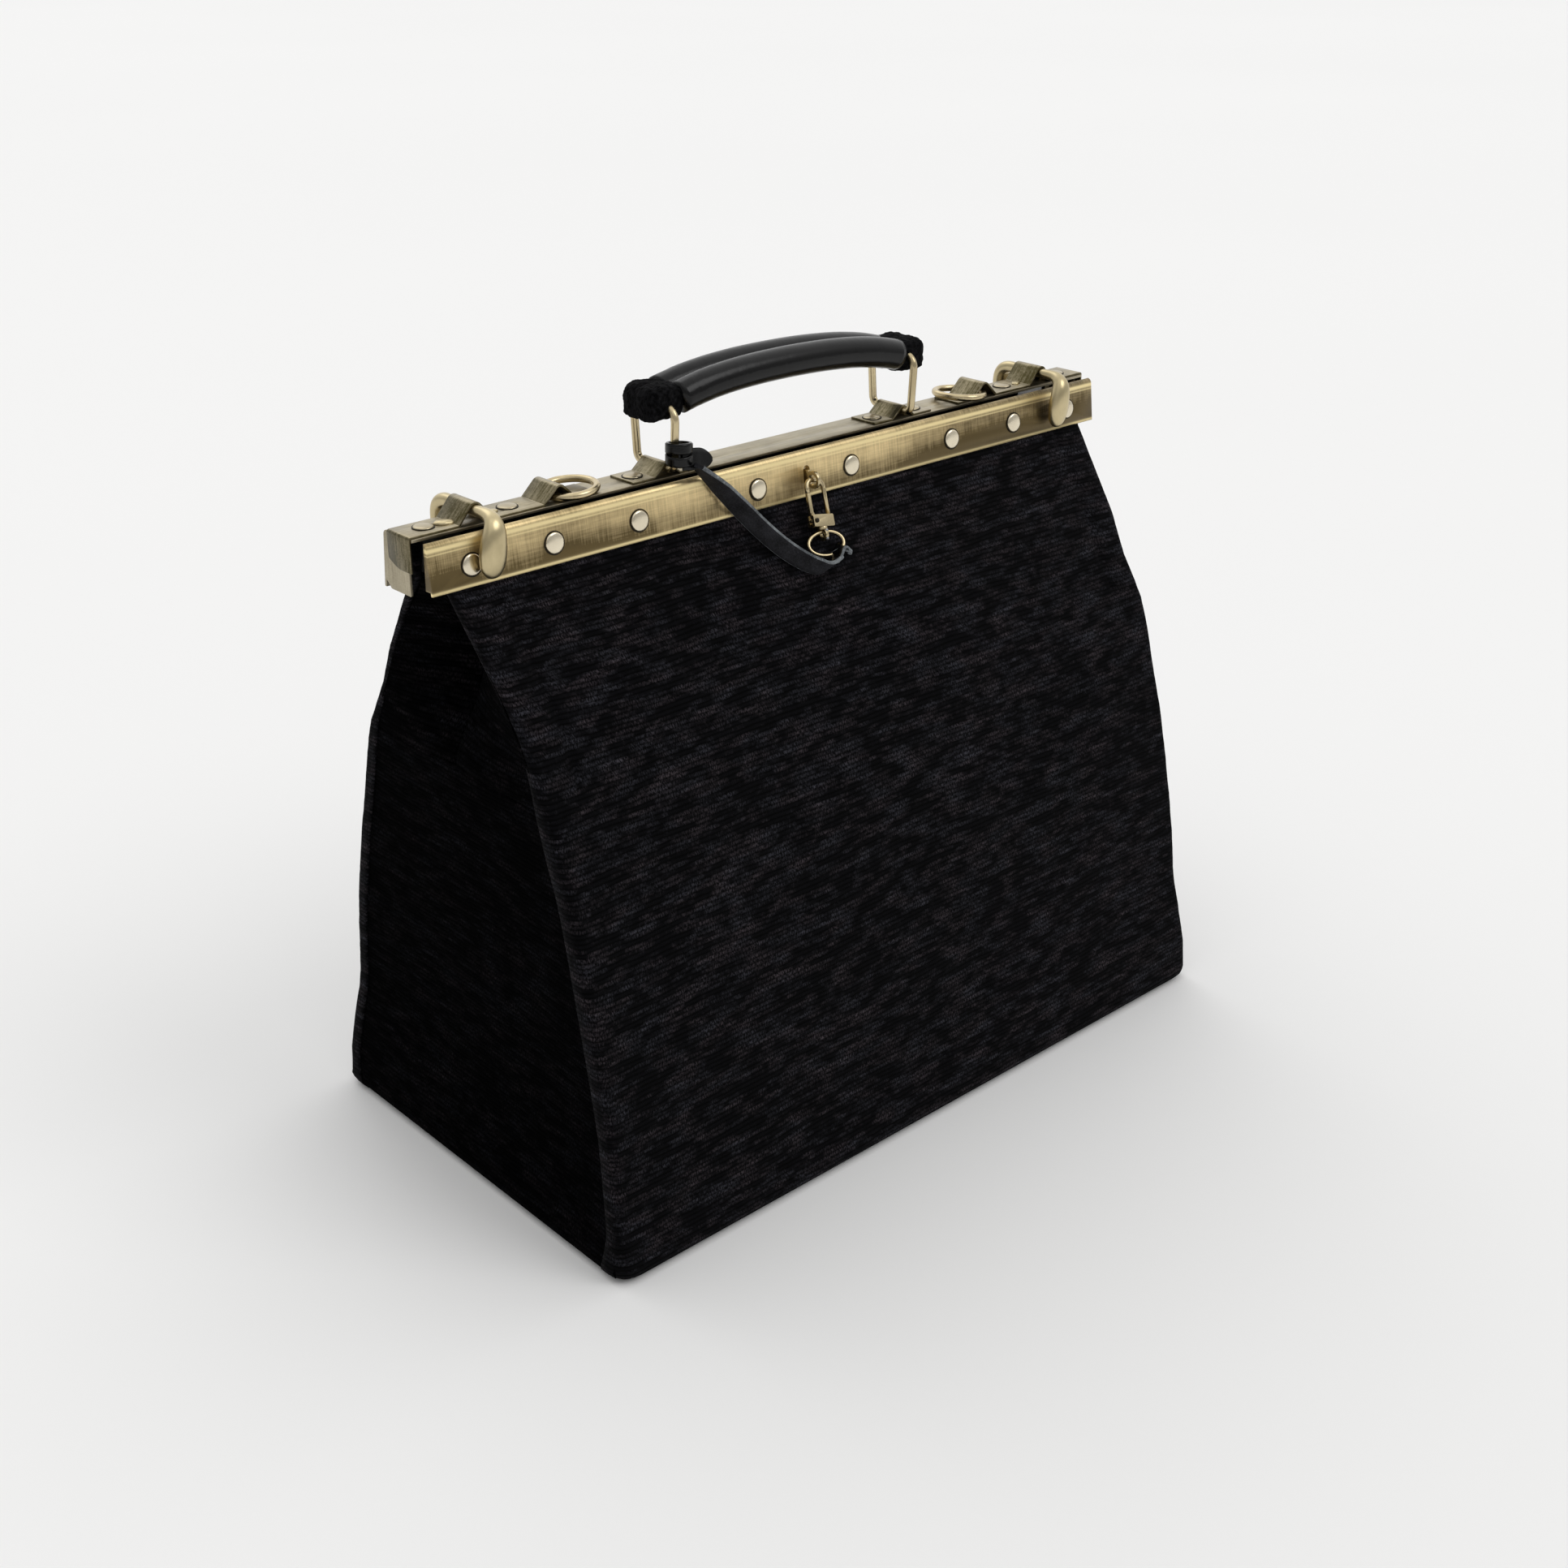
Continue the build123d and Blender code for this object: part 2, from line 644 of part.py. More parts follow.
# along the hanging snap hook: x across it, y upwards, z away from the bag
clasp_up = Vector(*clasp_direction).normalized()
clasp_across = Vector(0, -1, 0).cross(clasp_up) * -1
clasp_plane = Plane(origin=staple_eye, x_dir=clasp_across, z_dir=clasp_across.cross(clasp_up))

bow_ends = [(-shackle_half, gate_top + 0.1), (shackle_half, block_top)]
bow_corners = [(-shackle_half, block_top), (-shackle_half, 0), (shackle_half, 0), (shackle_half, block_top)]
bow = rounded([Vector(*corner) for corner in bow_corners], [1, 3.7, 3.7, 1])[4:12]
bow = [Vector(*bow_ends[0]), *bow, Vector(*bow_ends[1])]
save(wire([clasp_plane.from_local_coords(point) for point in bow], shackle_wire, closed=False), "clasp_shackle")

block_middle = (block_top + block_bottom) / 2
gate_pivot = (-shackle_half + 0.4, block_middle)
with BuildPart() as clasp_block:
    with BuildSketch(clasp_plane):
        with Locations((0, block_middle)):
            RectangleRounded(2 * shackle_half + 2.2, block_top - block_bottom, 0.7)
    extrude(amount=block_depth / 2, both=True)
    # mouth for the gate and bore for its pin
    with BuildSketch(clasp_plane):
        with Locations((-shackle_half - 0.4, block_middle + 0.5)):
            Rectangle(6.0, block_top - block_bottom)
    extrude(amount=tang / 2 + running_fit, both=True, mode=Mode.SUBTRACT)
    with BuildSketch(clasp_plane):
        with Locations(gate_pivot):
            Circle(gate_pin)
    extrude(amount=block_depth, both=True, mode=Mode.SUBTRACT)
save(clasp_block.part, "clasp_block")

with BuildPart() as clasp_pin:
    with BuildSketch(clasp_plane):
        with Locations(gate_pivot):
            Circle(gate_pin)
    extrude(amount=block_depth / 2 + 0.2, both=True)
save(clasp_pin.part, "clasp_pin")

with BuildPart() as clasp_gate:
    with BuildSketch(clasp_plane):
        with Locations(gate_pivot):
            Circle(1.5)
        with Locations((gate_pivot[0] - 0.2, (gate_pivot[1] + gate_foot) / 2)):
            Rectangle(1.8, gate_foot - gate_pivot[1])
        with Locations(gate_pivot):
            Circle(gate_pin + running_fit, mode=Mode.SUBTRACT)
    extrude(amount=tang / 2, both=True)
    with BuildSketch(clasp_plane.offset(-shackle_wire)):
        with Locations((-shackle_half, (gate_foot + gate_top) / 2 - 0.1)):
            Rectangle(2 * shackle_wire - 0.2, gate_top - gate_foot)
    gate_bar = extrude(amount=2 * shackle_wire)
    chamfer(gate_bar.edges().filter_by(Axis(staple_eye, clasp_direction)), 0.5)
save(clasp_gate.part, "clasp_gate")

with BuildPart() as clasp_swivel:
    eye_centre = clasp_plane.from_local_coords((0, swivel_eye, 0))
    with BuildSketch(Plane(origin=eye_centre, z_dir=clasp_across)):
        Circle(2.8)
        Circle(1.2, mode=Mode.SUBTRACT)
    extrude(amount=0.8, both=True)
    collar = Plane(
        origin=clasp_plane.from_local_coords((0, block_bottom - 0.1, 0)), z_dir=-clasp_up
    )
    with BuildSketch(collar):
        Circle(2.5)
    extrude(amount=1.3)
save(clasp_swivel.part, "clasp_swivel")

# the split ring hangs in the swivel eye, its lower side held off the cloth by the strap
ring_plane = Plane(
    origin=clasp_plane.from_local_coords((0, swivel_eye, 0)),
    x_dir=clasp_across,
    z_dir=clasp_plane.z_dir,
).rotated((-split_ring_tilt, 0, 0))
split_place = Plane(
    origin=ring_plane.from_local_coords((0, 0.2, 0)), x_dir=ring_plane.y_dir, z_dir=ring_plane.z_dir
)
save(ring(split_place, split_ring_radius, split_ring_wire), "split_ring")

# ---- leather strap: hitched on the left ring's front leg, looped on the split ring ----

with BuildPart() as strap_hitch:
    for height in hitch_heights:
        with BuildSketch(Plane.XY.offset(height)):
            with Locations(hitch_middle):
                RegularPolygon(hitch_radius, roll_sides)
                RegularPolygon(hitch_radius - strap_thickness, roll_sides, mode=Mode.SUBTRACT)
        extrude(amount=hitch_band)
    # the rounded end of the strap stands out of the hitch
    with BuildSketch(Plane.XZ.offset(hitch_radius - hitch_middle[1] - strap_thickness)):
        with Locations((hitch_middle[0] + 8, hitch_heights[0] + 1)):
            SlotOverall(15, strap_width, rotation=-8)
        with Locations((hitch_middle[0] - 4, hitch_heights[0] + 1)):
            Rectangle(8, 12, mode=Mode.SUBTRACT)
    extrude(amount=strap_thickness)
save(strap_hitch.part, "strap_hitch")


def arc_radii(points):
    # the largest even bends the runs allow: 0.45 of the shorter run over tan(half the turn)
    radii = []
    for before, here, after in zip(points, points[1:], points[2:]):
        run_in, run_out = Vector(*here) - Vector(*before), Vector(*after) - Vector(*here)
        turn = radians(run_in.get_angle(run_out))
        radii.append(0.45 * min(run_in.length, run_out.length) / tan(turn / 2))
    return radii


with BuildPart() as leather_strap:
    with BuildLine():
        radii = arc_radii(strap_route)
        route = FilletPolyline(*strap_route, radius=radii)
    start = Plane(origin=route @ 0, x_dir=strap_facing, z_dir=route % 0)
    with BuildSketch(start):
        Rectangle(strap_thickness, strap_width)
    sweep()
save(leather_strap.part, "leather_strap")
print("strap radii", [round(r, 1) for r in radii], "length", round(route.length, 1))
print("strap volume over section", round(leather_strap.part.volume / 17.1, 1))

with BuildPart() as strap_loop:
    eye = ring_plane.from_local_coords(
        (
            split_ring_radius * cos(radians(loop_angle)),
            0.2 - split_ring_radius + split_ring_radius * sin(radians(loop_angle)),
            0,
        )
    )
    along = ring_plane.from_local_coords(Vector(-sin(radians(loop_angle)), cos(radians(loop_angle)), 0))
    with BuildSketch(Plane(origin=eye, z_dir=along - ring_plane.origin)):
        Circle(loop_radius)
        Circle(loop_radius - 1.5, mode=Mode.SUBTRACT)
    extrude(amount=loop_half, both=True)
save(strap_loop.part, "strap_loop")
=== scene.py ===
import json
import math

import bmesh
import bpy
from mathutils import Matrix, Vector, noise


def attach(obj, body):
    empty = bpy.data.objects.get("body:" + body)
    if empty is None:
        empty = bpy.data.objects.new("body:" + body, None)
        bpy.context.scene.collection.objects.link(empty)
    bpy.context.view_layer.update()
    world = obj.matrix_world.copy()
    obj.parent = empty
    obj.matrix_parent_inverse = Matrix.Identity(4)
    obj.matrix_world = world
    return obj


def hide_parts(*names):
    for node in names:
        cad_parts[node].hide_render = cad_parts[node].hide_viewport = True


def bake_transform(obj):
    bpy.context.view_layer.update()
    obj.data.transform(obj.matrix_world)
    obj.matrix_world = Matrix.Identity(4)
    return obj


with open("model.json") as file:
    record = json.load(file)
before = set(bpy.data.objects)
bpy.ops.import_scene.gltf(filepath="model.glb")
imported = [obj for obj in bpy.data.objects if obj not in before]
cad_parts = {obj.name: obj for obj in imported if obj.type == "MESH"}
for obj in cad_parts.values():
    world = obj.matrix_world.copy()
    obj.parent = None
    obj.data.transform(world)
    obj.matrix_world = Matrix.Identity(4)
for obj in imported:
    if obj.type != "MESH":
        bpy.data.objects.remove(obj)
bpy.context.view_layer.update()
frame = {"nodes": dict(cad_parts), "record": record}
print("frame loaded:", len(frame["nodes"]), "nodes")

mm = 0.001
deck = {"y": 3.8, "z": 306.4}  # the top of the end and handle plates, and the line of their rings
joints = {joint["name"]: joint for joint in frame["record"]["behaviour"]["joints"]}


def pivotOf(name):
    return Vector(joints[name]["pos_m"]) / mm


class Value:
    # a node's output that can be used in sums
    def __init__(self, sheet, socket):
        self.sheet, self.socket = sheet, socket

    def sum(self, operation, *others):
        return self.sheet.add("ShaderNodeMath", {"operation": operation}, dict(enumerate(others)))

    def __add__(self, other):
        return self.sum("ADD", self, other)

    def __sub__(self, other):
        return self.sum("SUBTRACT", self, other)

    def __rsub__(self, other):
        return self.sum("SUBTRACT", other, self)

    def __mul__(self, other):
        return self.sum("MULTIPLY", self, other)

    def __truediv__(self, other):
        return self.sum("DIVIDE", self, other)

    def __rtruediv__(self, other):
        return self.sum("DIVIDE", other, self)

    __radd__ = __add__
    __rmul__ = __mul__


class Finish:
    # one material and the nodes in it
    def __init__(self, name, metallic=0.0, **fixed):
        self.material = bpy.data.materials.new(name)
        self.material.use_nodes = True
        self.tree = self.material.node_tree
        self.surface = self.tree.nodes["Principled BSDF"]
        self.surface.inputs["Metallic"].default_value = metallic
        for socket, value in fixed.items():
            self.surface.inputs[socket.replace("_", " ")].default_value = value

    def add(self, kind, settings=None, sockets=None, output=0):
        node = self.tree.nodes.new(kind)
        for key, value in (settings or {}).items():
            setattr(node, key, value)
        for key, value in (sockets or {}).items():
            self.feed(node.inputs[key], value)
        return Value(self, node.outputs[output])

    def feed(self, socket, value):
        if isinstance(value, Value):
            self.tree.links.new(value.socket, socket)
        else:
            socket.default_value = value

    def set(self, **sockets):
        for key, value in sockets.items():
            self.feed(self.surface.inputs[key.replace("_", " ")], value)

    def place(self, source="Object"):
        return Value(self, self.add("ShaderNodeTexCoord").socket.node.outputs[source])

    def scaled(self, vector, scale):
        return self.add("ShaderNodeMapping", {}, {"Vector": vector, "Scale": scale})

    def noise(self, vector, scale=1.0, detail=2.0, roughness=0.5):
        sockets = {"Vector": vector, "Scale": scale, "Detail": detail, "Roughness": roughness}
        return self.add("ShaderNodeTexNoise", {"noise_dimensions": "3D"}, sockets)

    def whole(self, value):
        return self.add("ShaderNodeMath", {"operation": "FLOOR"}, {0: value})

    def joined(self, *parts):
        return self.add("ShaderNodeCombineXYZ", {}, dict(enumerate(parts)))

    def part(self, vector, axis):
        node = self.add("ShaderNodeSeparateXYZ", {}, {"Vector": vector}).socket.node
        return Value(self, node.outputs[axis])

    def mix(self, share, first, second):
        node = self.tree.nodes.new("ShaderNodeMix")
        node.data_type = "RGBA"
        self.feed(node.inputs[0], share)
        for socket, value in ((node.inputs[6], first), (node.inputs[7], second)):
            self.feed(socket, value if isinstance(value, Value) else tuple(value) + (1.0,))
        return Value(self, node.outputs[2])

    def span(self, value, low, high):
        sockets = {"Value": value, "From Min": low, "From Max": high}
        return self.add("ShaderNodeMapRange", {"clamp": True}, sockets)

    def bump(self, height, distance, strength=1.0):
        sockets = {"Height": height, "Distance": distance, "Strength": strength}
        return self.add("ShaderNodeBump", {}, sockets)


chenille = {
    "rib": 0.0021,  # metres from rib to rib
    "slub": 88,
    "cluster": (52, 170, 1),
    "tuft": (1700, 620, 1),
    "clouds": (15, 26, 1),
    "tints": (45, 130, 1),
    "drift": (12, 22, 1),
    "tones": [  # between ribs, on ribs, and two of the paler pile, partly painted sheen
        (0.0008, 0.0008, 0.0009),
        (0.0038, 0.0037, 0.0045),
        (0.064, 0.064, 0.078),
        (0.078, 0.064, 0.072),
    ],
}


def makeChenille(name, lift):
    # black ribbed chenille: ribs are stacked along the piece's V, slubs of paler pile run along them,
    # partly the pile's own paleness and partly painted sheen, and lift scales every tone, sheen and
    # reflection, so that below one it paints shade, as on the ends and the base
    # every tone scaled by lift: below one this is painted shade
    tones = [tuple(lift * c for c in tone) for tone in chenille["tones"]]
    f = Finish(name, Sheen_Weight=0.009 * lift, Sheen_Roughness=0.5, Specular_IOR_Level=0.03 * lift)
    uv = f.place("UV")
    across, up = f.part(uv, 0), f.part(uv, 1)
    drift = f.noise(f.scaled(uv, chenille["drift"]), 1, 2, 0.5)
    ribs = up / chenille["rib"] + drift * 2.6
    rib = f.whole(ribs)
    crown = ribs - rib
    crown = 4 * crown * (1 - crown)
    slubs = f.noise(f.joined(across * chenille["slub"], rib * 7.31, 0.0), 1, 3, 0.62)
    clusters = f.noise(f.scaled(uv, chenille["cluster"]), 1, 2, 0.55)
    tufts = f.noise(f.scaled(uv, chenille["tuft"]), 1, 2, 0.6)
    clouds = f.noise(f.scaled(uv, chenille["clouds"]), 1, 3, 0.6)
    tints = f.noise(f.scaled(uv, chenille["tints"]), 1, 1, 0.5)
    # the paler pile: partly its own paler fibres, partly painted sheen of pile catching the light
    worn = f.span(slubs * 0.5 + clusters * 0.5 + clouds * 0.2, 0.55, 0.83)
    worn = worn * (0.25 + 0.75 * crown) * f.span(tufts, 0.42, 0.64)
    base = f.mix(f.span(slubs * 0.5 + crown * 0.3, 0.3, 0.65), tones[0], tones[1])
    tip = f.mix(f.span(tints, 0.42, 0.58), tones[2], tones[3])
    f.set(Base_Color=f.mix(worn, base, tip))
    f.set(Roughness=0.92 - 0.08 * worn)
    height = crown * (0.35 + 0.4 * slubs) + tufts * 0.35
    f.set(Normal=f.bump(height, 0.0005, 0.7))
    return f.material


def makeNap(name):
    # the same cloth gathered into a tuft, with no clear rib
    f = Finish(name, Sheen_Weight=0.01, Sheen_Roughness=0.5, Specular_IOR_Level=0.04)
    here = f.place()
    clumps = f.noise(here, 420, 3, 0.6)
    threads = f.noise(f.scaled(here, (500, 1400, 500)), 1, 2, 0.5)
    fleck = f.span(clumps * 0.5 + threads * 0.5, 0.42, 0.7)
    f.set(Base_Color=f.mix(fleck, (0.0008, 0.0008, 0.001), (0.011, 0.0108, 0.012)))
    f.set(Roughness=0.93 - 0.08 * clumps)
    f.set(Normal=f.bump(clumps * 0.7 + threads * 0.4, 0.0012, 1.0))
    return f.material


def makeBrass(name, low, high, roughness, share, brushed=None, painted_highlights=(), painted_reflection=None, level=0.0):
    # antique brass between two tones, share of the way from one to the other: brushed is the scale of
    # its fine lines, then the heights, widths and gains of painted highlight lines on its bent edges, its
    # painted reflection along the bar with painted shade at the foot, and painted highlight on flat tops
    f = Finish(name, metallic=1.0)
    here = f.place()
    patches = f.noise(here, 34, 3, 0.6)
    stain = f.noise(f.scaled(here, (150, 150, 90)), 1, 3, 0.65)
    tint = share + (patches - 0.5) * 0.7 + (stain - 0.5) * 0.5
    rough = roughness + 0.08 * patches
    height = f.noise(here, 900, 2, 0.5) * 0.12
    up = f.part(here, 2)
    if brushed:
        lines = f.noise(f.scaled(here, brushed), 1, 2, 0.65)
        cross = f.noise(f.scaled(here, (70, 900, 1700)), 1, 1, 0.5)
        tint = tint + (lines - 0.5) * 0.75 + (cross - 0.5) * 0.35
        rough = rough + 0.16 * lines
        height = height + lines * 0.5 + cross * 0.2
    # painted reflection: brighter spots along the bar, and painted shade darker towards its foot
    if painted_reflection:
        for middle, reach, gain in painted_reflection["spots"]:
            away = (f.part(here, 0) - middle) / reach
            away = away * away
            tint = tint + gain / (1 + away * away * away)
        tint = tint - painted_reflection["foot"] * (1 - f.span(up, *painted_reflection["rise"]))
    # painted highlight: faces that look up are paler, as where light falls from above
    if level:
        facing = f.part(f.add("ShaderNodeNewGeometry", output="Normal"), 2)
        tint = tint + level * f.span(facing, 0.8, 0.97)
    colour = f.mix(f.span(tint, 0, 1), low, high)
    # painted highlight: bright lines laid into the colour along the bent edges, at the heights given
    for place, width, gain in painted_highlights:
        away = (up - place) / width
        wear_and_highlight = tuple(min(0.95, 1.25 * c) for c in high)
        colour = f.mix(gain / (1 + away * away * away * away), colour, wear_and_highlight)
    f.set(Base_Color=colour, Roughness=rough)
    f.set(Normal=f.bump(height, 0.00012, 0.6))
    return f.material


def makeLeather(name, tone, roughness):
    # smooth black leather with a fine grain and a few creases
    f = Finish(name, Specular_IOR_Level=0.26)
    here = f.place()
    grain = f.noise(here, 1300, 2, 0.5)
    creases = f.noise(f.scaled(here, (260, 90, 90)), 1, 3, 0.6)
    wear_and_highlight = f.span(f.noise(here, 60, 3, 0.6), 0.5, 0.8)
    low, high = (tone * 0.6,) * 3, (tone * 2.0, tone * 2.0, tone * 2.2)
    f.set(Base_Color=f.mix(wear_and_highlight * 0.6 + creases * 0.2, low, high))
    f.set(Roughness=roughness + 0.12 * grain + 0.1 * creases)
    f.set(Normal=f.bump(grain * 0.3 + creases * 0.6, 0.0003, 0.5))
    return f.material


def makeSuede(name, low, high, roughness):
    # the strap's napped face and its cut edges, with loose pale fibres
    f = Finish(name, Specular_IOR_Level=0.15)
    here = f.place()
    nap = f.noise(here, 1500, 3, 0.65)
    worn = f.noise(here, 120, 3, 0.6)
    fibres = f.span(f.noise(f.scaled(here, (900, 900, 350)), 1, 2, 0.6), 0.6, 0.72)
    share = f.span(nap * 0.5 + worn * 0.5, 0.38, 0.62) * 0.8 + fibres * 0.5
    f.set(Base_Color=f.mix(share, low, high))
    f.set(Roughness=roughness + 0.1 * nap, Normal=f.bump(nap, 0.0003, 0.7))
    return f.material


def makePlain(name, tone, roughness, scale, metallic=0.0):
    # lining cloth, board and steel: a fine fleck over one tone
    f = Finish(name, metallic=metallic)
    fleck = f.noise(f.place(), scale, 3, 0.6)
    f.set(Base_Color=f.mix(fleck, tuple(0.6 * c for c in tone), tuple(1.3 * c for c in tone)))
    f.set(Roughness=roughness + 0.12 * fleck, Normal=f.bump(fleck, 0.0002, 0.5))
    return f.material


def makeFloor(name, tone):
    f = Finish(name, Specular_IOR_Level=0.2)
    drift = f.noise(f.place(), 0.6, 2, 0.5)
    f.set(Base_Color=f.mix(drift, tuple(0.985 * c for c in tone), tuple(1.015 * c for c in tone)))
    f.set(Roughness=0.8 + 0.1 * drift)
    return f.material


# brushed grain, painted highlight lines on bent edges, painted reflection, painted shade at the foot
barGrainAndPaintedLight = {
    "brushed": (1500, 60, 40),
    "painted_highlights": [(0.3021, 0.0009, 1.0), (0.3002, 0.0003, 0.6), (0.2849, 0.0006, 0.95)],
    "painted_reflection": {"spots": [(-0.02, 0.087, 0.74), (-0.162, 0.018, 0.5)], "foot": 0.7, "rise": (0.286, 0.2965)},
}

brasses = {  # darkest and palest tone, roughness, and the share of the pale tone
    "barBrass": ((0.13, 0.095, 0.043), (0.80, 0.63, 0.34), 0.3, 0.12, barGrainAndPaintedLight),
    "rearBrass": ((0.17, 0.145, 0.09), (0.54, 0.48, 0.355), 0.3, 0.6, {"brushed": (60, 1300, 60)}),
    # plateBrass gets the painted highlight on its flat tops
    "plateBrass": (
        (0.07, 0.058, 0.024),
        (0.52, 0.45, 0.31),
        0.24,
        0.12,
        {"brushed": (90, 1100, 90), "level": 0.45},
    ),
    "castBrass": ((0.20, 0.155, 0.08), (0.72, 0.61, 0.37), 0.26, 0.6, {}),
    "wireBrass": ((0.26, 0.20, 0.11), (0.76, 0.64, 0.40), 0.22, 0.55, {}),
    # one rivet brass in two copies: the front rivets' is paler, with painted highlight, and the top
    # rivets' darker, with painted shade
    "capBrass": ((0.46, 0.39, 0.27), (0.85, 0.77, 0.60), 0.2, 0.75, {}),
    "shadedTopCapBrass": ((0.2, 0.165, 0.10), (0.6, 0.52, 0.36), 0.26, 0.55, {}),
}
finishes = {name: makeBrass(name, *tones, **extra) for name, (*tones, extra) in brasses.items()}
finishes["panelCloth"] = makeChenille("panelCloth", 1.0)
# the same chenille darkened all over: painted shade for the ends and the base
finishes["shadedEndCloth"] = makeChenille("shadedEndCloth", 0.22)
finishes["nap"] = makeNap("nap")
finishes["leather"] = makeLeather("leather", 0.0014, 0.12)
finishes["suede"] = makeSuede("suede", (0.0065, 0.0065, 0.0072), (0.030, 0.030, 0.035), 0.7)
finishes["cutEdge"] = makeSuede("cutEdge", (0.05, 0.055, 0.06), (0.24, 0.26, 0.27), 0.75)
# dark metal for the rivets' rim, painted shadow round each cap, and for the clasp screw
finishes["rim"] = makePlain("rim", (0.035, 0.03, 0.022), 0.5, 900, 1.0)
finishes["lining"] = makePlain("lining", (0.006, 0.006, 0.007), 0.85, 1600)
finishes["board"] = makePlain("board", (0.02, 0.02, 0.022), 0.8, 900)
finishes["steel"] = makePlain("steel", (0.3, 0.3, 0.3), 0.35, 700, 1.0)
print("finishes made:", len(finishes))


def placed(name, data):
    # an object in the scene for a mesh, curve, lamp or camera
    item = bpy.data.objects.new(name, data)
    bpy.context.scene.collection.objects.link(item)
    return item


def fromShape(name, shape, *materials):
    # a smooth mesh object from a bmesh, which ends here
    mesh = bpy.data.meshes.new(name)
    shape.to_mesh(mesh)
    shape.free()
    for material in materials:
        mesh.materials.append(finishes[material])
    mesh.polygons.foreach_set("use_smooth", [True] * len(mesh.polygons))
    return placed(name, mesh)


def addPiece(name, points, faces, *materials, uv=None):
    # a smooth mesh object from points in millimetres
    mesh = bpy.data.meshes.new(name)
    mesh.from_pydata([Vector(p) * mm for p in points], [], faces)
    if uv:
        layer = mesh.uv_layers.new(name="weave")
        for loop in mesh.loops:
            layer.data[loop.index].uv = uv[loop.vertex_index]
    mesh.update()
    for material in materials:
        mesh.materials.append(finishes[material])
    mesh.polygons.foreach_set("use_smooth", [True] * len(mesh.polygons))
    return placed(name, mesh)


def tidyNormals(piece):
    shape = bmesh.new()
    shape.from_mesh(piece.data)
    bmesh.ops.remove_doubles(shape, verts=shape.verts, dist=0.01 * mm)
    bmesh.ops.recalc_face_normals(shape, faces=shape.faces)
    shape.to_mesh(piece.data)
    shape.free()
    return piece


def quadRows(rows, closedRow=False, closedRun=False, capped=False):
    # faces of a grid of rows, wound so that they look outwards for a right-handed frame
    faces, count, width = [], len(rows), len(rows[0])
    for r in range(count if closedRun else count - 1):
        for c in range(width if closedRow else width - 1):
            here, there = r * width, (r + 1) % count * width
            nextC = (c + 1) % width
            faces.append([here + c, here + nextC, there + nextC, there + c])
    if capped:
        faces.append(list(reversed(range(width))))
        faces.append([(count - 1) * width + c for c in range(width)])
    return faces


def along(points, closed=False):
    # a frame at each point of a run: point, direction, and two steady cross directions
    tangents = []
    for i, point in enumerate(points):
        before = points[i - 1] if i or closed else point
        after = points[(i + 1) % len(points)] if i < len(points) - 1 or closed else point
        tangents.append((after - before).normalized())
    side = tangents[0].orthogonal().normalized()
    frames = []
    for point, ahead in zip(points, tangents):
        side = (side - ahead * side.dot(ahead)).normalized()
        frames.append((point, ahead, side, ahead.cross(side)))
    return frames


def tubeRows(points, radii, sides, closed=False, shape=None):
    rows = []
    for n, (point, ahead, side, other) in enumerate(along(points, closed)):
        radius = radii[n] if isinstance(radii, list) else radii
        ring = []
        for k in range(sides):
            turn = 2 * math.pi * k / sides
            reach = radius * (shape(turn, n) if shape else 1.0)
            ring.append(point + (side * math.cos(turn) + other * math.sin(turn)) * reach)
        rows.append(ring)
    return rows


def addRows(name, rows, *materials, closed=False, cut=()):
    # a tube through rows of points; cut lists the places round it that get the second material
    faces = quadRows(rows, closedRow=True, closedRun=closed, capped=not closed)
    piece = addPiece(name, [p for row in rows for p in row], faces, *materials)
    for n, face in enumerate(piece.data.polygons):
        face.material_index = int(n % len(rows[0]) in cut and len(face.vertices) == 4)
    return tidyNormals(piece)


def addTube(name, points, radii, material, sides=16, closed=False, shape=None):
    rows = tubeRows([Vector(p) for p in points], radii, sides, closed, shape)
    return addRows(name, rows, material, closed=closed)


def join(name, pieces):
    # one object from several, which keep their materials
    shape, materials = bmesh.new(), []
    for piece in pieces:
        slots = []
        for material in piece.data.materials:
            if material not in materials:
                materials.append(material)
            slots.append(materials.index(material))
        before = len(shape.faces)
        shape.from_mesh(piece.data)
        shape.faces.ensure_lookup_table()
        for face in shape.faces[before:]:
            face.material_index = slots[face.material_index]
        bpy.data.objects.remove(piece)
    joined = fromShape(name, shape)
    for material in materials:
        joined.data.materials.append(material)
    return joined


def bevelled(name, nodes, material, width, segments, cut=None):
    # a CAD shape with its edges eased, as pressed or cast metal has them; above the cut's height
    # nothing reaches further along Y than its edge
    shape = bmesh.new()
    for node in nodes:
        shape.from_mesh(frame["nodes"][node].data)
    for vertex in shape.verts:
        if cut and vertex.co.z > cut["above"] * mm:
            vertex.co.y = min(vertex.co.y, cut["edge"] * mm)
    bmesh.ops.remove_doubles(shape, verts=shape.verts, dist=0.004 * mm)
    flat = math.radians(3)
    bmesh.ops.dissolve_limit(shape, angle_limit=flat, verts=shape.verts, edges=shape.edges)
    piece = fromShape(name, shape, material)
    ease = piece.modifiers.new("ease", "BEVEL")
    ease.width, ease.segments, ease.limit_method = width * mm, segments, "ANGLE"
    ease.angle_limit, ease.use_clamp_overlap = math.radians(25), True
    applyModifiers(piece)
    piece.data.polygons.foreach_set("use_smooth", [True] * len(piece.data.polygons))
    piece.data.set_sharp_from_angle(angle=math.radians(40))
    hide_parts(*nodes)
    return piece


def applyModifiers(piece):
    sight = bpy.context.evaluated_depsgraph_get()
    mesh = bpy.data.meshes.new_from_object(piece.evaluated_get(sight))
    piece.modifiers.clear()
    piece.data = mesh
    return piece


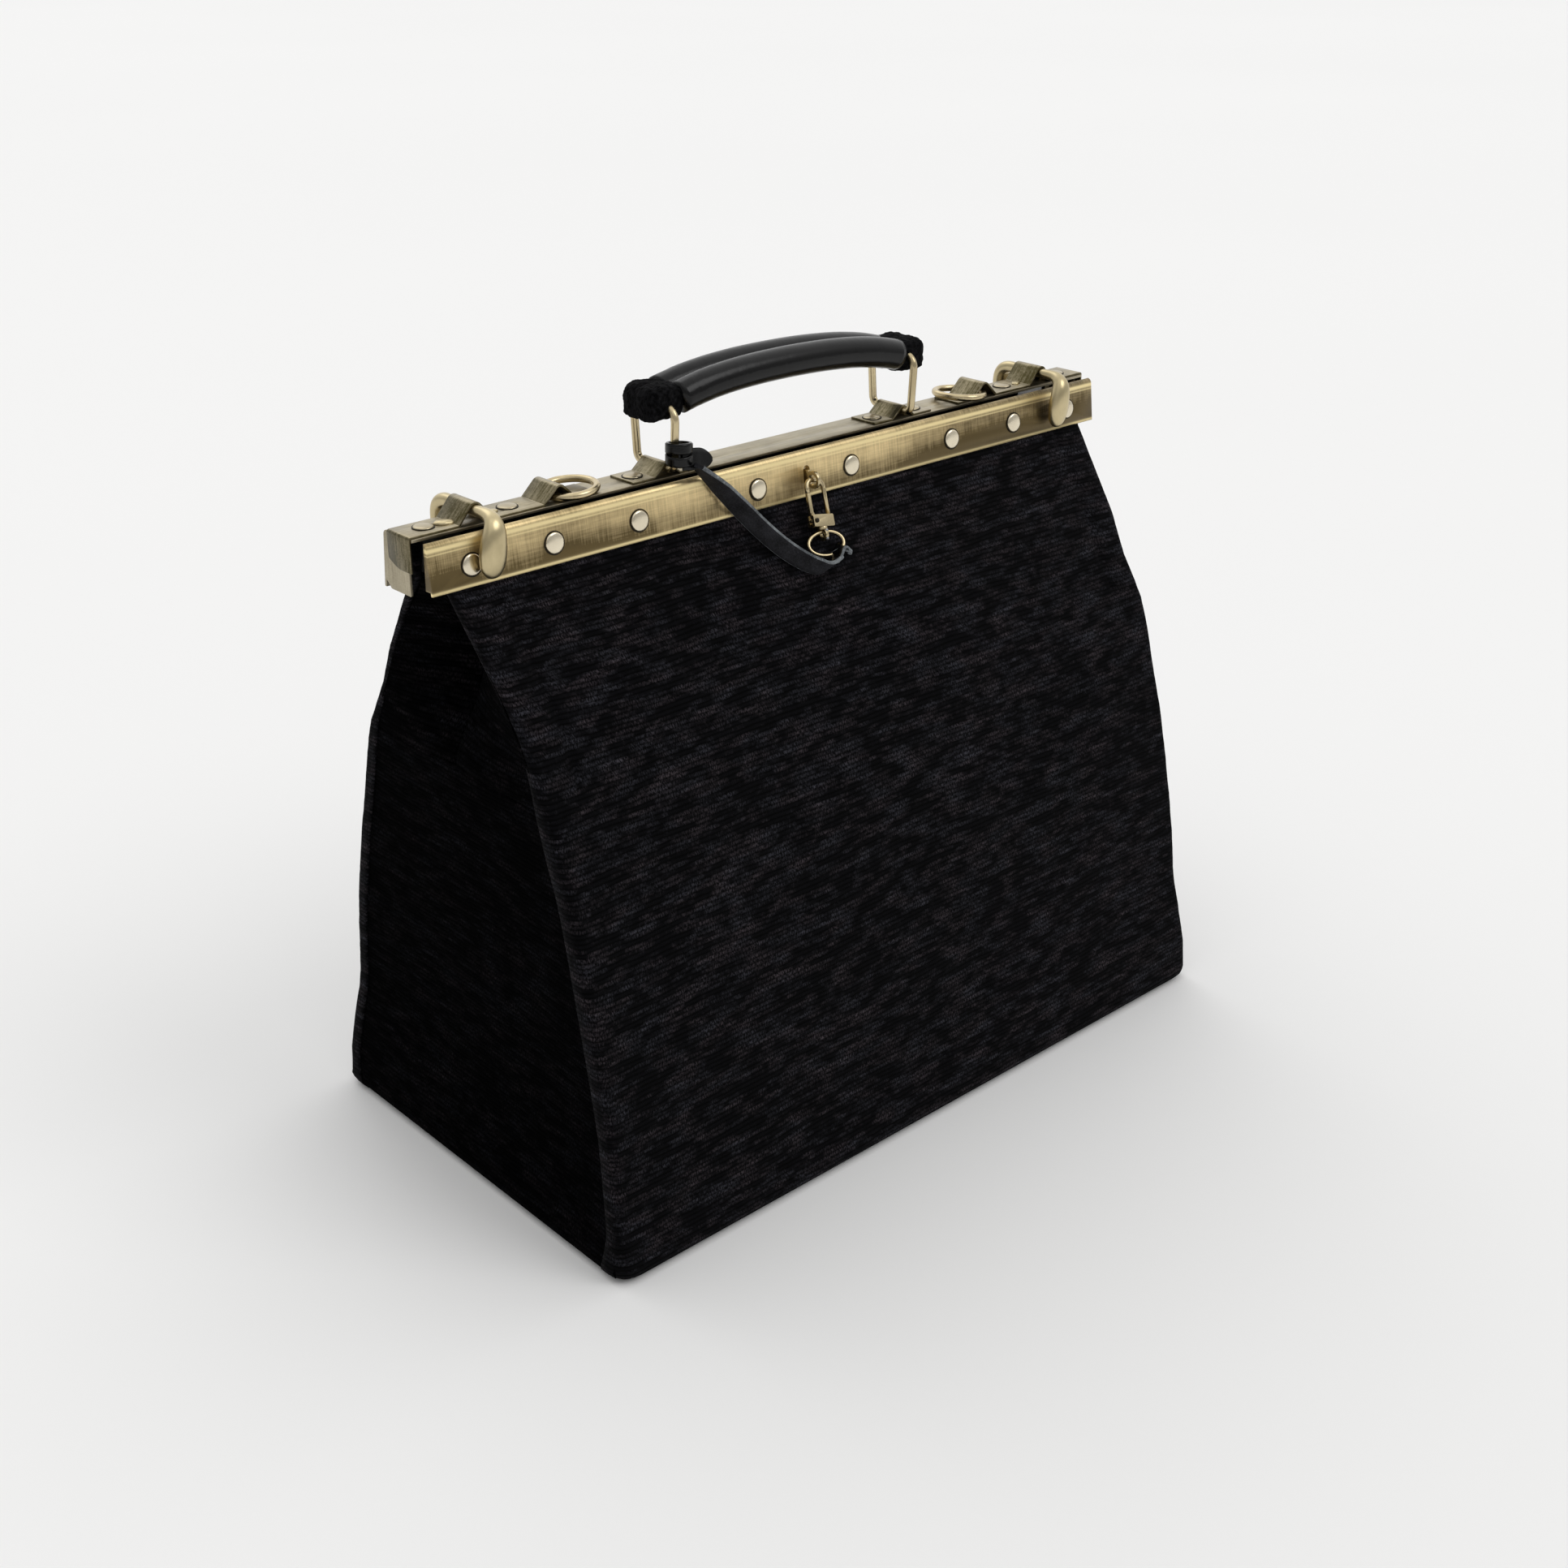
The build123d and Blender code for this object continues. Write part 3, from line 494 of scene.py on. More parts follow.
def addWall(piece, thickness):
    # a sheet's thickness, inwards, with its second material inside
    wall = piece.modifiers.new("wall", "SOLIDIFY")
    wall.thickness, wall.offset, wall.material_offset = thickness * mm, -1, 1
    applyModifiers(piece)


def addSheet(name, rows, uv, finish, flip, thickness):
    # lined cloth through rows of points
    points = [p for row in rows for p in row]
    piece = addPiece(name, points, quadRows(rows), finish, "lining", uv=uv)
    if flip:
        piece.data.flip_normals()
    addWall(piece, thickness)
    return piece


def dress(finish, *nodes):
    # a finish for CAD pieces that stay as they are
    for node in nodes:
        materials = frame["nodes"][node].data.materials
        materials.clear()
        materials.append(finishes[finish])


def waves(x, y, z, size, seed):
    # smooth noise from -1 to 1 whose bumps are about one size across
    return noise.noise(Vector((x / size + seed, y / size, z / size)))


def ramp(value, low, high):
    share = min(1.0, max(0.0, (value - low) / (high - low)))
    return share * share * (3 - 2 * share)


def between(table, z):
    # the row of a table of heights, at one height
    if z <= table[0][0]:
        return table[0][1:]
    for low, high in zip(table, table[1:]):
        if z <= high[0]:
            share = (z - low[0]) / (high[0] - low[0])
            return tuple(a + (b - a) * share for a, b in zip(low[1:], high[1:]))
    return table[-1][1:]


sight = {
    "target": (-1.41, -0.33, 137.18),
    "azimuth": -42.276,
    "elevation": 25.033,
    "roll": -0.121,
    "distance": 964.65,
    "lens": 45.658,
}


def addCamera():
    around, above = math.radians(sight["azimuth"]), math.radians(sight["elevation"])
    flat = math.cos(above)
    back = Vector((math.sin(around) * flat, -math.cos(around) * flat, math.sin(above)))
    right = Vector((0, 0, 1)).cross(back).normalized()
    up = back.cross(right)
    roll = math.radians(sight["roll"])
    c, s = math.cos(roll), math.sin(roll)
    right, up = right * c + up * s, up * c - right * s
    camera = placed("camera", bpy.data.cameras.new("camera"))
    place = (Vector(sight["target"]) + back * sight["distance"]) * mm
    turned = Matrix((right, up, back)).transposed().to_4x4()
    camera.matrix_world = Matrix.Translation(place) @ turned
    camera.data.lens, camera.data.sensor_width = sight["lens"], 36
    camera.data.clip_start, camera.data.clip_end = 0.02, 60
    bpy.context.scene.camera = camera


addCamera()

strap = {
    "route": [
        (-66.5, -17.6, 312.0),
        (-57.5, -18.0, 303.6),
        (-46.3, -19.6, 291.4),
        (-35.2, -24.0, 278.0),
        (-25.6, -31.0, 267.4),
        (-16.8, -37.9, 260.8),
        (-10.0, -40.9, 259.4),
        (-4.9, -39.4, 262.2),
    ],
    "width": 9.5,
    "thickness": 1.8,
    "facing": (0, -0.94, 0.34),
    "cup": 0.006,
    "free": (-52, -18.6, 298),  # where it starts to follow the handle ring, and where it is held by it
    "held": (-64, -17.7, 309.5),
    # share of the run, and degrees that the strap is turned about it there
    "lean": [(0, 108), (0.14, 72), (0.3, 58), (0.6, 54), (0.8, 56), (0.92, 74), (1, 84)],
}


def routeCurve(points):
    # the smooth line through a route's control points
    curve = bpy.data.curves.new("route", "CURVE")
    curve.dimensions = "3D"
    spline = curve.splines.new("NURBS")
    spline.points.add(len(points) - 1)
    for point, spot in zip(spline.points, points):
        point.co = (*(Vector(spot) * mm), 1)
    spline.order_u, spline.use_endpoint_u, spline.resolution_u = 3, True, 10
    holder = placed("route", curve)
    bpy.context.view_layer.update()
    mesh = bpy.data.meshes.new_from_object(holder)
    line = [vertex.co / mm for vertex in mesh.vertices]
    bpy.data.objects.remove(holder)
    bpy.data.meshes.remove(mesh)
    return line


def flatSection(width, thickness, edge=0.45):
    # outline of a strap's cut, its corners eased
    w, t = width / 2, thickness / 2
    corners = [(w - edge, t), (w, t - edge), (w, edge - t), (w - edge, -t)]
    across = [(w * s, -t) for s in (0.5, 0, -0.5)] + [(edge - w, -t), (-w, edge - t), (-w, t - edge)]
    return corners + across + [(edge - w, t)] + [(w * s, t) for s in (-0.5, 0, 0.5)]


def addBand(name, line, section, facing, lean, closed=False, cup=0.0, finish="leather", cut=()):
    # a flat strap along a line: facing is the way its face looks, and lean turns it along the run
    rows = []
    for n, (point, ahead, side, other) in enumerate(along(line, closed)):
        out = facing(n) if callable(facing) else Vector(facing)
        out = (out - ahead * out.dot(ahead)).normalized()
        turn = math.radians(between(lean, n / (len(line) - 1))[0])
        c, s = math.cos(turn), math.sin(turn)
        across = ahead.cross(out)
        out, across = out * c + across * s, across * c - out * s
        rows.append([point + across * a + out * (t - cup * a * a) for a, t in section])
    piece = addRows(name, rows, finish, "cutEdge", closed=closed, cut=cut)
    piece.data.set_sharp_from_angle(angle=math.radians(50))
    return piece


cutSides = (0, 1, 2, 7, 8, 9)  # the faces of a flat section that are cut edges
strapLine = routeCurve(strap["route"])
leatherStrap = addBand(
    "leatherStrap",
    strapLine,
    flatSection(strap["width"], strap["thickness"]),
    strap["facing"],
    strap["lean"],
    cup=strap["cup"],
    finish="suede",
    cut=cutSides,
)
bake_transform(leatherStrap)
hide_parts("leather_strap")

hitch = {
    "middle": (-70.2, -10.6),
    "bands": [  # height, radius, slant in X and Y
        (314.4, 5.0, (0.05, 0.1)),
        (319.0, 4.9, (-0.1, -0.08)),
    ],
    "section": (4.5, 1.7),
    "tab": [
        (-71.5, -14.0, 314.6),
        (-66.0, -14.7, 314.2),
        (-60.5, -14.1, 313.2),
        (-55.6, -14.3, 312.0),
    ],
    "tabSection": (9.4, 1.7),
    "facing": (0.1, -0.95, 0.3),
}


def addHitch():
    # two turns round the handle ring, and the strap's free end, rounded off, behind the strap
    pieces = []
    for height, radius, slant in hitch["bands"]:
        centre = Vector((*hitch["middle"], height))
        line = []
        for n in range(40):
            turn = 2 * math.pi * n / 40
            x, y = radius * 1.06 * math.cos(turn), radius * math.sin(turn)
            line.append(centre + Vector((x, y, slant[0] * x + slant[1] * y)))

        def outwards(n, line=line, centre=centre):
            return line[n] - centre

        section = flatSection(*hitch["section"])
        pieces.append(addBand("band", line, section, outwards, [(0, 0), (1, 0)], closed=True))
    tabLine = routeCurve(hitch["tab"])
    ends = len(tabLine) - 1
    rows = []
    for n, (point, ahead, side, other) in enumerate(along(tabLine)):
        out = Vector(hitch["facing"])
        out = (out - ahead * out.dot(ahead)).normalized()
        across = ahead.cross(out)
        blunt = 1 - max(0.0, 1 - (ends - n) / ends * 2.4) ** 2
        share = min(1.0, math.sqrt(max(0.03, blunt)))
        rows.append([point + across * a * share + out * t for a, t in flatSection(*hitch["tabSection"])])
    tab = addRows("tab", rows, "leather")
    tab.data.set_sharp_from_angle(angle=math.radians(50))
    knot = join("strapHitch", pieces + [tab])
    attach(knot, "left_handle_ring")
    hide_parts("strap_hitch")
    return knot


strapHitch = addHitch()

# the snap hook's own frame: across it, up along it, and outwards
clasp = {
    "eye": (0.8, -18.0, 292.6),
    "up": (0.15, 0.42, 0.895),
    "half": 5.1,
    "wire": 1.1,
    "bend": 3.7,
    "ends": (-5.9, -16.2),  # the bow's, beside the gate and in the block
    "balls": [((0.6, -23.3, 1.4), 1.25), ((0.4, -26.9, 1.6), 0.95)],
    "screw": [(-4.4, -18.7, 2.2), (-4.4, -18.7, 2.7)],
    "swivelEye": -25.0,
    "ring": {"half": 8.6, "radius": 5.6, "wire": 0.85, "raised": 1.4, "tilt": 11.0, "turn": -20.0},
    "loop": {
        "angle": -42.0,
        "half": 4.2,
        "thickness": 1.4,
        "rise": [(-0.9, -37.2, 266.4)],
        "start": (0, 0.89, -0.45),  # the way across the band, where it starts and ends
        "end": (0.43, 0.88, 0),
        # outwards and forwards of the ring's wire
        "round": [(2.2, 1.0), (0.6, 2.2), (-1.9, 1.2), (-2.0, -1.2)],
    },
}
claspEye = Vector(clasp["eye"])
claspUp = Vector(clasp["up"]).normalized()
claspAcross = claspUp.cross(Vector((0, -1, 0))).normalized()
claspOut = claspAcross.cross(claspUp).normalized()


def onClasp(x, y, z=0.0):
    return claspEye + claspAcross * x + claspUp * y + claspOut * z


ringTilt = math.radians(clasp["ring"]["tilt"])
ringDown = (-claspUp * math.cos(ringTilt) + claspOut * math.sin(ringTilt)).normalized()
ringTop = onClasp(0, clasp["swivelEye"]) - ringDown * clasp["ring"]["raised"]
ringMiddle = ringTop + ringDown * clasp["ring"]["radius"]
ringAcross = Matrix.Rotation(math.radians(clasp["ring"]["turn"]), 3, ringDown * -1) @ claspAcross


def onSplitRing(degrees):
    c, s = math.cos(math.radians(degrees)), math.sin(math.radians(degrees))
    return ringMiddle + ringAcross * c * clasp["ring"]["half"] - ringDown * s * clasp["ring"]["radius"]


def addStrapLoop():
    # the strap's end is turned up to the right side of the split ring and sewn round it
    settings = clasp["loop"]
    middle = onSplitRing(settings["angle"])
    outer = (middle - ringMiddle).normalized()
    route = [tuple(strapLine[-5]), tuple(strapLine[-1])] + settings["rise"]
    for outwards, forwards in settings["round"]:
        route.append(tuple(middle + outer * outwards + claspOut * forwards))
    line = routeCurve(route)
    wide = flatSection(2 * settings["half"], settings["thickness"])
    rows = []
    for n, (point, ahead, side, other) in enumerate(along(line)):
        share = n / (len(line) - 1)
        across = Vector(settings["start"]).lerp(Vector(settings["end"]), ramp(share, 0.0, 0.75))
        across = (across - ahead * across.dot(ahead)).normalized()
        out = across.cross(ahead)
        narrow = 1 - 0.12 * share
        rows.append([point + across * a * narrow + out * t for a, t in wide])
    loop = addRows("strapLoop", rows, "leather", "cutEdge", cut=cutSides)
    loop.data.set_sharp_from_angle(angle=math.radians(50))
    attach(loop, "clasp_swivel")
    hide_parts("strap_loop")
    return loop


strapLoop = addStrapLoop()
length = sum((b - a).length for a, b in zip(strapLine, strapLine[1:]))
print("strap made:", round(length, 1), "mm along its line")

body = {
    "lower": [  # height, half length, half depth
        (0.0, 185.6, 102.4),
        (0.5, 188.2, 104.9),
        (1.6, 190.7, 107.3),
        (3.4, 192.3, 108.8),
        (6, 193.0, 109.5),
        (15, 191.7, 107.9),
        (25, 190.4, 106.2),
        (35, 189.5, 104.4),
        (45, 188.6, 102.5),
        (55, 187.5, 100.3),
        (65, 186.9, 98.6),
        (85, 187.1, 95.8),
        (105, 187.3, 92.3),
        (125, 187.0, 88.0),
        (145, 186.7, 83.6),
        (165, 186.2, 78.4),
        (185, 186.6, 72.3),
        (195, 186.8, 69.4),
        (205, 186.7, 65.6),
    ],
    "upper": [  # height, half length, front and rear depth
        (205, 186.7, 65.6, 65.6),
        (214, 185.7, 60.3, 60.5),
        (225, 184.9, 53.4, 54.2),
        (235, 185.2, 47.9, 49.2),
        (245, 186.0, 42.0, 43.9),
        (255, 186.8, 34.7, 37.0),
        (265, 187.6, 27.2, 30.0),
        (275, 188.6, 19.8, 22.6),
        (281, 189.1, 15.6, 17.4),
        (284, 189.4, 13.4, 16.5),
        (299, 189.6, 11.6, 14.8),
    ],
    "bend": [(66.5, 197), (61.5, 216)],  # depth and height where a panel starts and ends bending
    "corner": 4.2,
    "wrap": 5.0,  # how far a panel turns round onto the end
    "thickness": 2.4,
    "steps": [2.0, 4.5, 8, 12, 15.5, 17.5, 18.5, 19.5, 21, 24, 28],  # columns near a corner
    "columns": 96,  # between those
    "channel": {"inset": 18.5, "puff": 1.1, "groove": 0.9, "bottom": 211.0},
}


shoulder = body["lower"][-1][0]


def outline(z, side):
    # half length and depth of the cloth at one height, for the front (-1) or the rear (1)
    if z <= shoulder:
        return between(body["lower"], z)
    halfLength, front, rear = between(body["upper"], z)
    return halfLength, front if side < 0 else rear


def panelPush(x, z, side, halfLength):
    # how far the cloth stands out of its plain outline
    settings = body["channel"]
    push = 1.15 * waves(x, side * 90, z, 62, 3.1) + 0.5 * waves(x, side * 90, z * 1.4, 24, 7.7)
    push += 0.16 * waves(x * 0.5, side * 40, z, 5.5, 1.3)
    push *= ramp(z, 2, 30) * ramp(287 - z, 0, 14)
    edge = halfLength - abs(x)
    above = ramp(z, settings["bottom"] - 2.5, settings["bottom"] + 2.0) * ramp(289 - z, 0, 5)
    push += settings["puff"] * above * ramp(settings["inset"] - edge, 0, 2.5) * ramp(edge, -1, 4)
    push -= settings["groove"] * above * math.exp(-(((edge - settings["inset"] - 0.6) / 1.1) ** 2))
    return push


def panelHeights():
    # close together at the foot, where the cloth turns under
    heights, z, top = [], 0.0, body["upper"][-1][0]
    while z < top:
        heights.append(z)
        z += 0.5 if z < 0.4 else 1.1 if z < 1.5 else 1.8 if z < 6 else 2.5 if z < shoulder else 2.0
    return heights + [top]


def panelOutline(z, side):
    # places round a panel at one height, from wrap to wrap, with its half length and where it is flat
    halfLength, depth = outline(z, side)
    corner = body["corner"] * (1 - 0.45 * ramp(z, 200, 230)) + 5.5 * (1 - ramp(z, 0, 24))
    wrap = body["wrap"] * (1 - 0.5 * ramp(z, 190, 225))
    left = [(-halfLength, depth - corner - wrap * share) for share in (1.0, 0.5)]
    for n in range(6):
        turn = math.pi / 2 * n / 5
        across = -halfLength + corner * (1 - math.cos(turn))
        left.append((across, depth - corner * (1 - math.sin(turn))))
    flat = [-halfLength + corner + step for step in body["steps"]]
    start, inner = flat[-1], body["columns"]
    flat += [start + (n + 1) / (inner + 1) * -2 * start for n in range(inner)]
    flat += [halfLength - corner - step for step in reversed(body["steps"])]
    points = left + [(x, depth) for x in flat] + [(-x, y) for x, y in reversed(left)]
    return points, halfLength, depth - corner - 1, depth


def addPanel(name, side):
    rows = []
    for z in panelHeights():
        points, halfLength, low, depth = panelOutline(z, side)
        row = []
        for x, y in points:
            lift = panelPush(x, z, side, halfLength) * ramp(y, low, depth)
            fuzz = 0.22 * waves(x, y * side, z, 4.5, 5.2) * ramp(z, 0, 3) * ramp(288 - z, 0, 3)
            fuzz = math.copysign(fuzz, x) * (abs(x) > halfLength - 3)
            row.append(Vector((x + fuzz, side * (y + lift), z)))
        rows.append(row)
    # the weave is measured along one row and up the middle
    run, climb = [0.0], [0.0]
    for a, b in zip(rows[30], rows[30][1:]):
        run.append(run[-1] + (b - a).length)
    for a, b in zip(rows, rows[1:]):
        climb.append(climb[-1] + (b[60] - a[60]).length)
    uv = [(run[c] * mm, climb[r] * mm) for r in range(len(rows)) for c in range(len(rows[0]))]
    panel = addSheet(name, rows, uv, "panelCloth", side > 0, body["thickness"])
    half = "front" if side < 0 else "rear"
    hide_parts(f"{half}_lower_panel", f"{half}_fold", f"{half}_upper_panel")
    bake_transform(panel)


addPanel("frontCloth", -1)
addPanel("rearCloth", 1)

gusset = {
    "lowerSag": 2.2,
    "fold": [  # height, half length at the edges, half depth at the edges, half length at the fold
        (203.5, 186.2, 62.0, 186.0),
        (208, 185.9, 60.0, 185.6),
        (214, 185.4, 56.4, 182.6),
        (229, 185.6, 47.6, 174.0),
        (245, 186.4, 38.4, 168.0),
        (258, 187.2, 28.8, 169.2),
        (270, 187.8, 19.2, 174.0),
        (279, 188.2, 11.5, 181.0),
        (284, 188.3, 9.2, 184.0),
    ],
    "thickness": 1.8,
    "bend": (5.6, 0.4),  # how far inside the panel's edge a quarter starts and ends bending
}


def addLowerGusset(name, end):
    rows, heights = [], [0.5, 1.6, 3.4] + [6 + 3.3 * n for n in range(60)] + [203.5]
    for z in heights:
        halfLength, depth = outline(z, -1)
        reach = depth - body["corner"] - 1.0
        row = []
        for n in range(49):
            share = -1 + 2 * n / 48
            y = share * reach
            bow = (1 - share * share) * gusset["lowerSag"] * ramp(z, 10, 60) * (1 - ramp(z, 120, 185))
            ripple = 0.9 * waves(end * 200, y, z, 48, 4.4) + 0.35 * waves(end * 200, y * 1.2, z, 17, 8.1)
            ripple *= (1 - share**4) * ramp(z, 2, 25) * (1 - 0.7 * ramp(z, 170, 190))
            row.append(Vector((end * (halfLength - 0.5 - bow + ripple), y, z)))
        rows.append(row)
    uv = [(p.y * mm, p.z * mm + 0.5) for row in rows for p in row]
    piece = addSheet(name, rows, uv, "shadedEndCloth", end < 0, body["thickness"])
    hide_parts(f"{'left' if end < 0 else 'right'}_lower_gusset")
    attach(piece, "bag")


def addUpperGusset(name, end, side):
    # one quarter of the folded gusset, from its middle crease to the edge of one panel
    rows, heights = [], [203.5 + 2.3 * n for n in range(36)]
    for z in heights:
        edge, depth, fold = between(gusset["fold"], z)
        row = []
        for n in range(61):
            share = 1 - (1 - n / 60) ** 1.6
            y = depth * share
            bend = math.sin(math.pi * share) * (1.6 + 1.2 * ramp(z, 215, 245))
            ripple = 0.5 * waves(end * 150, side * y, z, 26, 6.3) * math.sin(math.pi * share)
            x = fold + (edge - fold) * share**1.08 + (bend * 0.5 - 1.2 * (1 - share) ** 6) + ripple
            row.append(Vector((end * min(x, edge + 0.2), side * y, z)))
        rows.append(row)
    uv = [(p.y * mm, p.z * mm + 0.5) for row in rows for p in row]
    piece = addSheet(name, rows, uv, "shadedEndCloth", end * side < 0, gusset["thickness"])
    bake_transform(piece)
    return piece


for end, word in ((-1, "left"), (1, "right")):
    addLowerGusset(f"{word}LowerGusset", end)
    quarter = addUpperGusset(f"{word}FrontGusset", end, -1)
    addUpperGusset(f"{word}RearGusset", end, 1)
    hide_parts(f"{word}_upper_gusset")


base = {
    "half": (189.2, 106.2),
    "corner": 5,
    # inset and height
    "rings": [(0, 3.0), (0, 1.4), (1.2, 0.25), (4, 0.0), (30, 0.0), (70, 0.0), (104, 0.0)],
}


def addBase():
    # cloth under the bag, turned up into the walls all round
    rows = []
    for inset, z in base["rings"]:
        row = []
        x, y = base["half"][0] - inset, base["half"][1] - inset
        r = max(1.0, base["corner"] - inset * 0.3)
        for k, (sx, sy) in enumerate(((1, 1), (-1, 1), (-1, -1), (1, -1))):
            for n in range(7):
                turn = math.pi / 2 * (k + n / 6)
                across = sx * (x - r) + r * math.cos(turn)
                row.append(Vector((across, sy * max(0.4, y - r) + r * math.sin(turn), z)))
        rows.append(row)
    around = len(rows[0])
    faces = quadRows(rows, closedRow=True)
    faces.append([(len(rows) - 1) * around + c for c in range(around)])
    uv = [(p.x * mm, p.y * mm) for row in rows for p in row]
    points = [p for row in rows for p in row]
    cloth = tidyNormals(addPiece("baseCloth", points, faces, "shadedEndCloth", "lining", uv=uv))
    addWall(cloth, 2.0)
    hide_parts("base_panel")
    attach(cloth, "bag")


addBase()
dress("board", "base_board")
print("cloth made")


def metal(name, nodes, finish, bodyName, width, segments=2, cut=None):
    piece = bevelled(name, nodes, finish, width, segments, cut)
    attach(piece, bodyName)
    return piece


metal("frontBar", ["front_bar"], "barBrass", "front_half", 0.35, cut={"above": 303.4, "edge": -10.4})
metal("rearBar", ["rear_bar"], "rearBrass", "rear_half", 0.35)
for word in ("left", "right"):
    metal(f"{word}EndPlate", [f"{word}_end_plate"], "plateBrass", "rear_half", 0.25)
    metal(f"{word}HandlePlate", [f"{word}_handle_plate"], "plateBrass", "rear_half", 0.25)

prongs = {
    "y": 2.4,
    "blobs": [(157.9, 3.0, 2.0, 1.1), (180.2, 4.3, 2.7, 1.5)],  # X, then half length, width and rise
}


def addProngs():
    # clinched tongues beside the hook bearings, hammered out of round
    shape = bmesh.new()
    for side in (-1, 1):
        spin = Matrix.Rotation(math.radians(20 * side), 3, "Z")
        for x, long, wide, rise in prongs["blobs"]:
            made = bmesh.ops.create_uvsphere(shape, u_segments=28, v_segments=14, radius=1.0)
            for vertex in made["verts"]:
                p = vertex.co.copy()
                dent = 1 + 0.12 * waves(p.x * 3 + x, p.y * 3, p.z * 3 + side, 1.6, 2.0)
                up = math.copysign(abs(p.z) ** 0.6, p.z) * rise * dent
                middle = Vector((side * x, prongs["y"], deck["z"] + up))
                vertex.co = (spin @ Vector((p.x * long * dent, p.y * wide * dent, 0)) + middle) * mm
    piece = fromShape("topProngs", shape, "castBrass")
    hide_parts("top_prongs")
    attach(piece, "rear_half")


addProngs()
dress("steel", "left_spreader", "right_spreader", "hinge_pins")
dress("steel", *(f"{half}_{word}_arm" for half in ("front", "rear") for word in ("left", "right")))

rivet = {
    "sides": 28,
    "flange": 0.3,
    "rim": 1.1,
    "shank": 1.5,
    "flat": 0.5,
    "row": 293.0,
    "frontX": [28.5, 95, 139, 179],
    "topX": [58.5, 84.5, 149, 189],
    "bar": (4.55, 1.35, 6.0),  # radius, rise and shank
    "top": (4.2, 1.0, 2.4),
}


def rivetTree():
    # a flat-topped cap on a thin dark rim, painted shadow round the cap, at every point, all turned one
    # way
    tree = bpy.data.node_groups.new("rivets", "GeometryNodeTree")
    tree.interface.new_socket("Points", in_out="INPUT", socket_type="NodeSocketGeometry")
    for name in ("Radius", "Rise", "Flange", "Shank"):
        tree.interface.new_socket(name, in_out="INPUT", socket_type="NodeSocketFloat")
    tree.interface.new_socket("Turn", in_out="INPUT", socket_type="NodeSocketVector")
    tree.interface.new_socket("Rivets", in_out="OUTPUT", socket_type="NodeSocketGeometry")
    nodes, links = tree.nodes, tree.links
    given, result = nodes.new("NodeGroupInput").outputs, nodes.new("NodeGroupOutput")

    def feed(socket, value):
        if isinstance(value, bpy.types.NodeSocket):
            links.new(value, socket)
        else:
            socket.default_value = value

    def node(kind, settings=None, **sockets):
        made = nodes.new("GeometryNode" + kind)
        for key, value in (settings or {}).items():
            setattr(made, key, value)
        for key, value in sockets.items():
            feed(made.inputs[key], value)
        return made.outputs[0]

    def sums(operation, first, second):
        made = nodes.new("ShaderNodeMath")
        made.operation = operation
        feed(made.inputs[0], first)
        feed(made.inputs[1], second)
        return made.outputs[0]

    def vector(*parts):
        made = nodes.new("ShaderNodeCombineXYZ")
        for socket, part in zip(made.inputs, parts):
            feed(socket, part)
        return made.outputs[0]

    where = nodes.new("ShaderNodeSeparateXYZ")
    feed(where.inputs[0], node("InputPosition"))
    flat = sums("POWER", sums("MAXIMUM", where.outputs[2], 0.0), rivet["flat"])
    dome = node("MeshUVSphere", Segments=rivet["sides"], Rings=16, Radius=1.0)
    dome = node("SetPosition", Geometry=dome, Position=vector(where.outputs[0], where.outputs[1], flat))
    size = vector(given["Radius"], given["Radius"], given["Rise"])
    dome = node("Transform", Geometry=dome, Scale=size)
    wide = sums("MULTIPLY", given["Radius"], rivet["rim"])
    # the rim: a wider dark flange under the cap, painted shadow
    flange = node("MeshCylinder", Vertices=rivet["sides"], Depth=given["Flange"], Radius=wide)
    flags = {"data_type": "BOOLEAN", "domain": "FACE"}
    flange = node("StoreNamedAttribute", flags, Geometry=flange, Name="rim", Value=True)
    shank = node("MeshCylinder", Vertices=12, Radius=rivet["shank"] * mm, Depth=given["Shank"])
    drop = vector(0.0, 0.0, sums("MULTIPLY", given["Shank"], -0.5))
    shank = node("Transform", Geometry=shank, Translation=drop)
    whole = nodes.new("GeometryNodeJoinGeometry")
    for part in (shank, flange, dome):
        links.new(part, whole.inputs[0])
    one = node("SetShadeSmooth", Geometry=whole.outputs[0])
    turn = nodes.new("FunctionNodeEulerToRotation")
    feed(turn.inputs[0], given["Turn"])
    spread = node("InstanceOnPoints", Points=given["Points"], Instance=one, Rotation=turn.outputs[0])
    spread = node("RealizeInstances", Geometry=spread)
    spread = node("SetMaterial", Geometry=spread, Material=finishes["capBrass"])
    rim = node("InputNamedAttribute", {"data_type": "BOOLEAN"}, Name="rim")
    spread = node("SetMaterial", Geometry=spread, Selection=rim, Material=finishes["rim"])
    feed(result.inputs[0], spread)
    return tree


rivetMaker = rivetTree()


def addRivets(name, node, bodyName, points, sizes, turn, finish="capBrass"):
    mesh = bpy.data.meshes.new(name)
    mesh.from_pydata([Vector(p) * mm for p in points], [], [])
    piece = placed(name, mesh)
    maker = piece.modifiers.new("rivets", "NODES")
    maker.node_group = rivetMaker
    wanted = dict(zip(("Radius", "Rise", "Shank"), (size * mm for size in sizes)))
    wanted.update({"Flange": 2 * rivet["flange"] * mm, "Turn": turn})
    for item in rivetMaker.interface.items_tree:
        if item.name in wanted and item.in_out == "INPUT":
            maker[item.identifier] = wanted[item.name]
    applyModifiers(piece)
    for slot, material in enumerate(piece.data.materials):
        if material == finishes["capBrass"]:
            piece.data.materials[slot] = finishes[finish]
    piece.data.set_sharp_from_angle(angle=math.radians(45))
    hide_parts(node)
    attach(piece, bodyName)


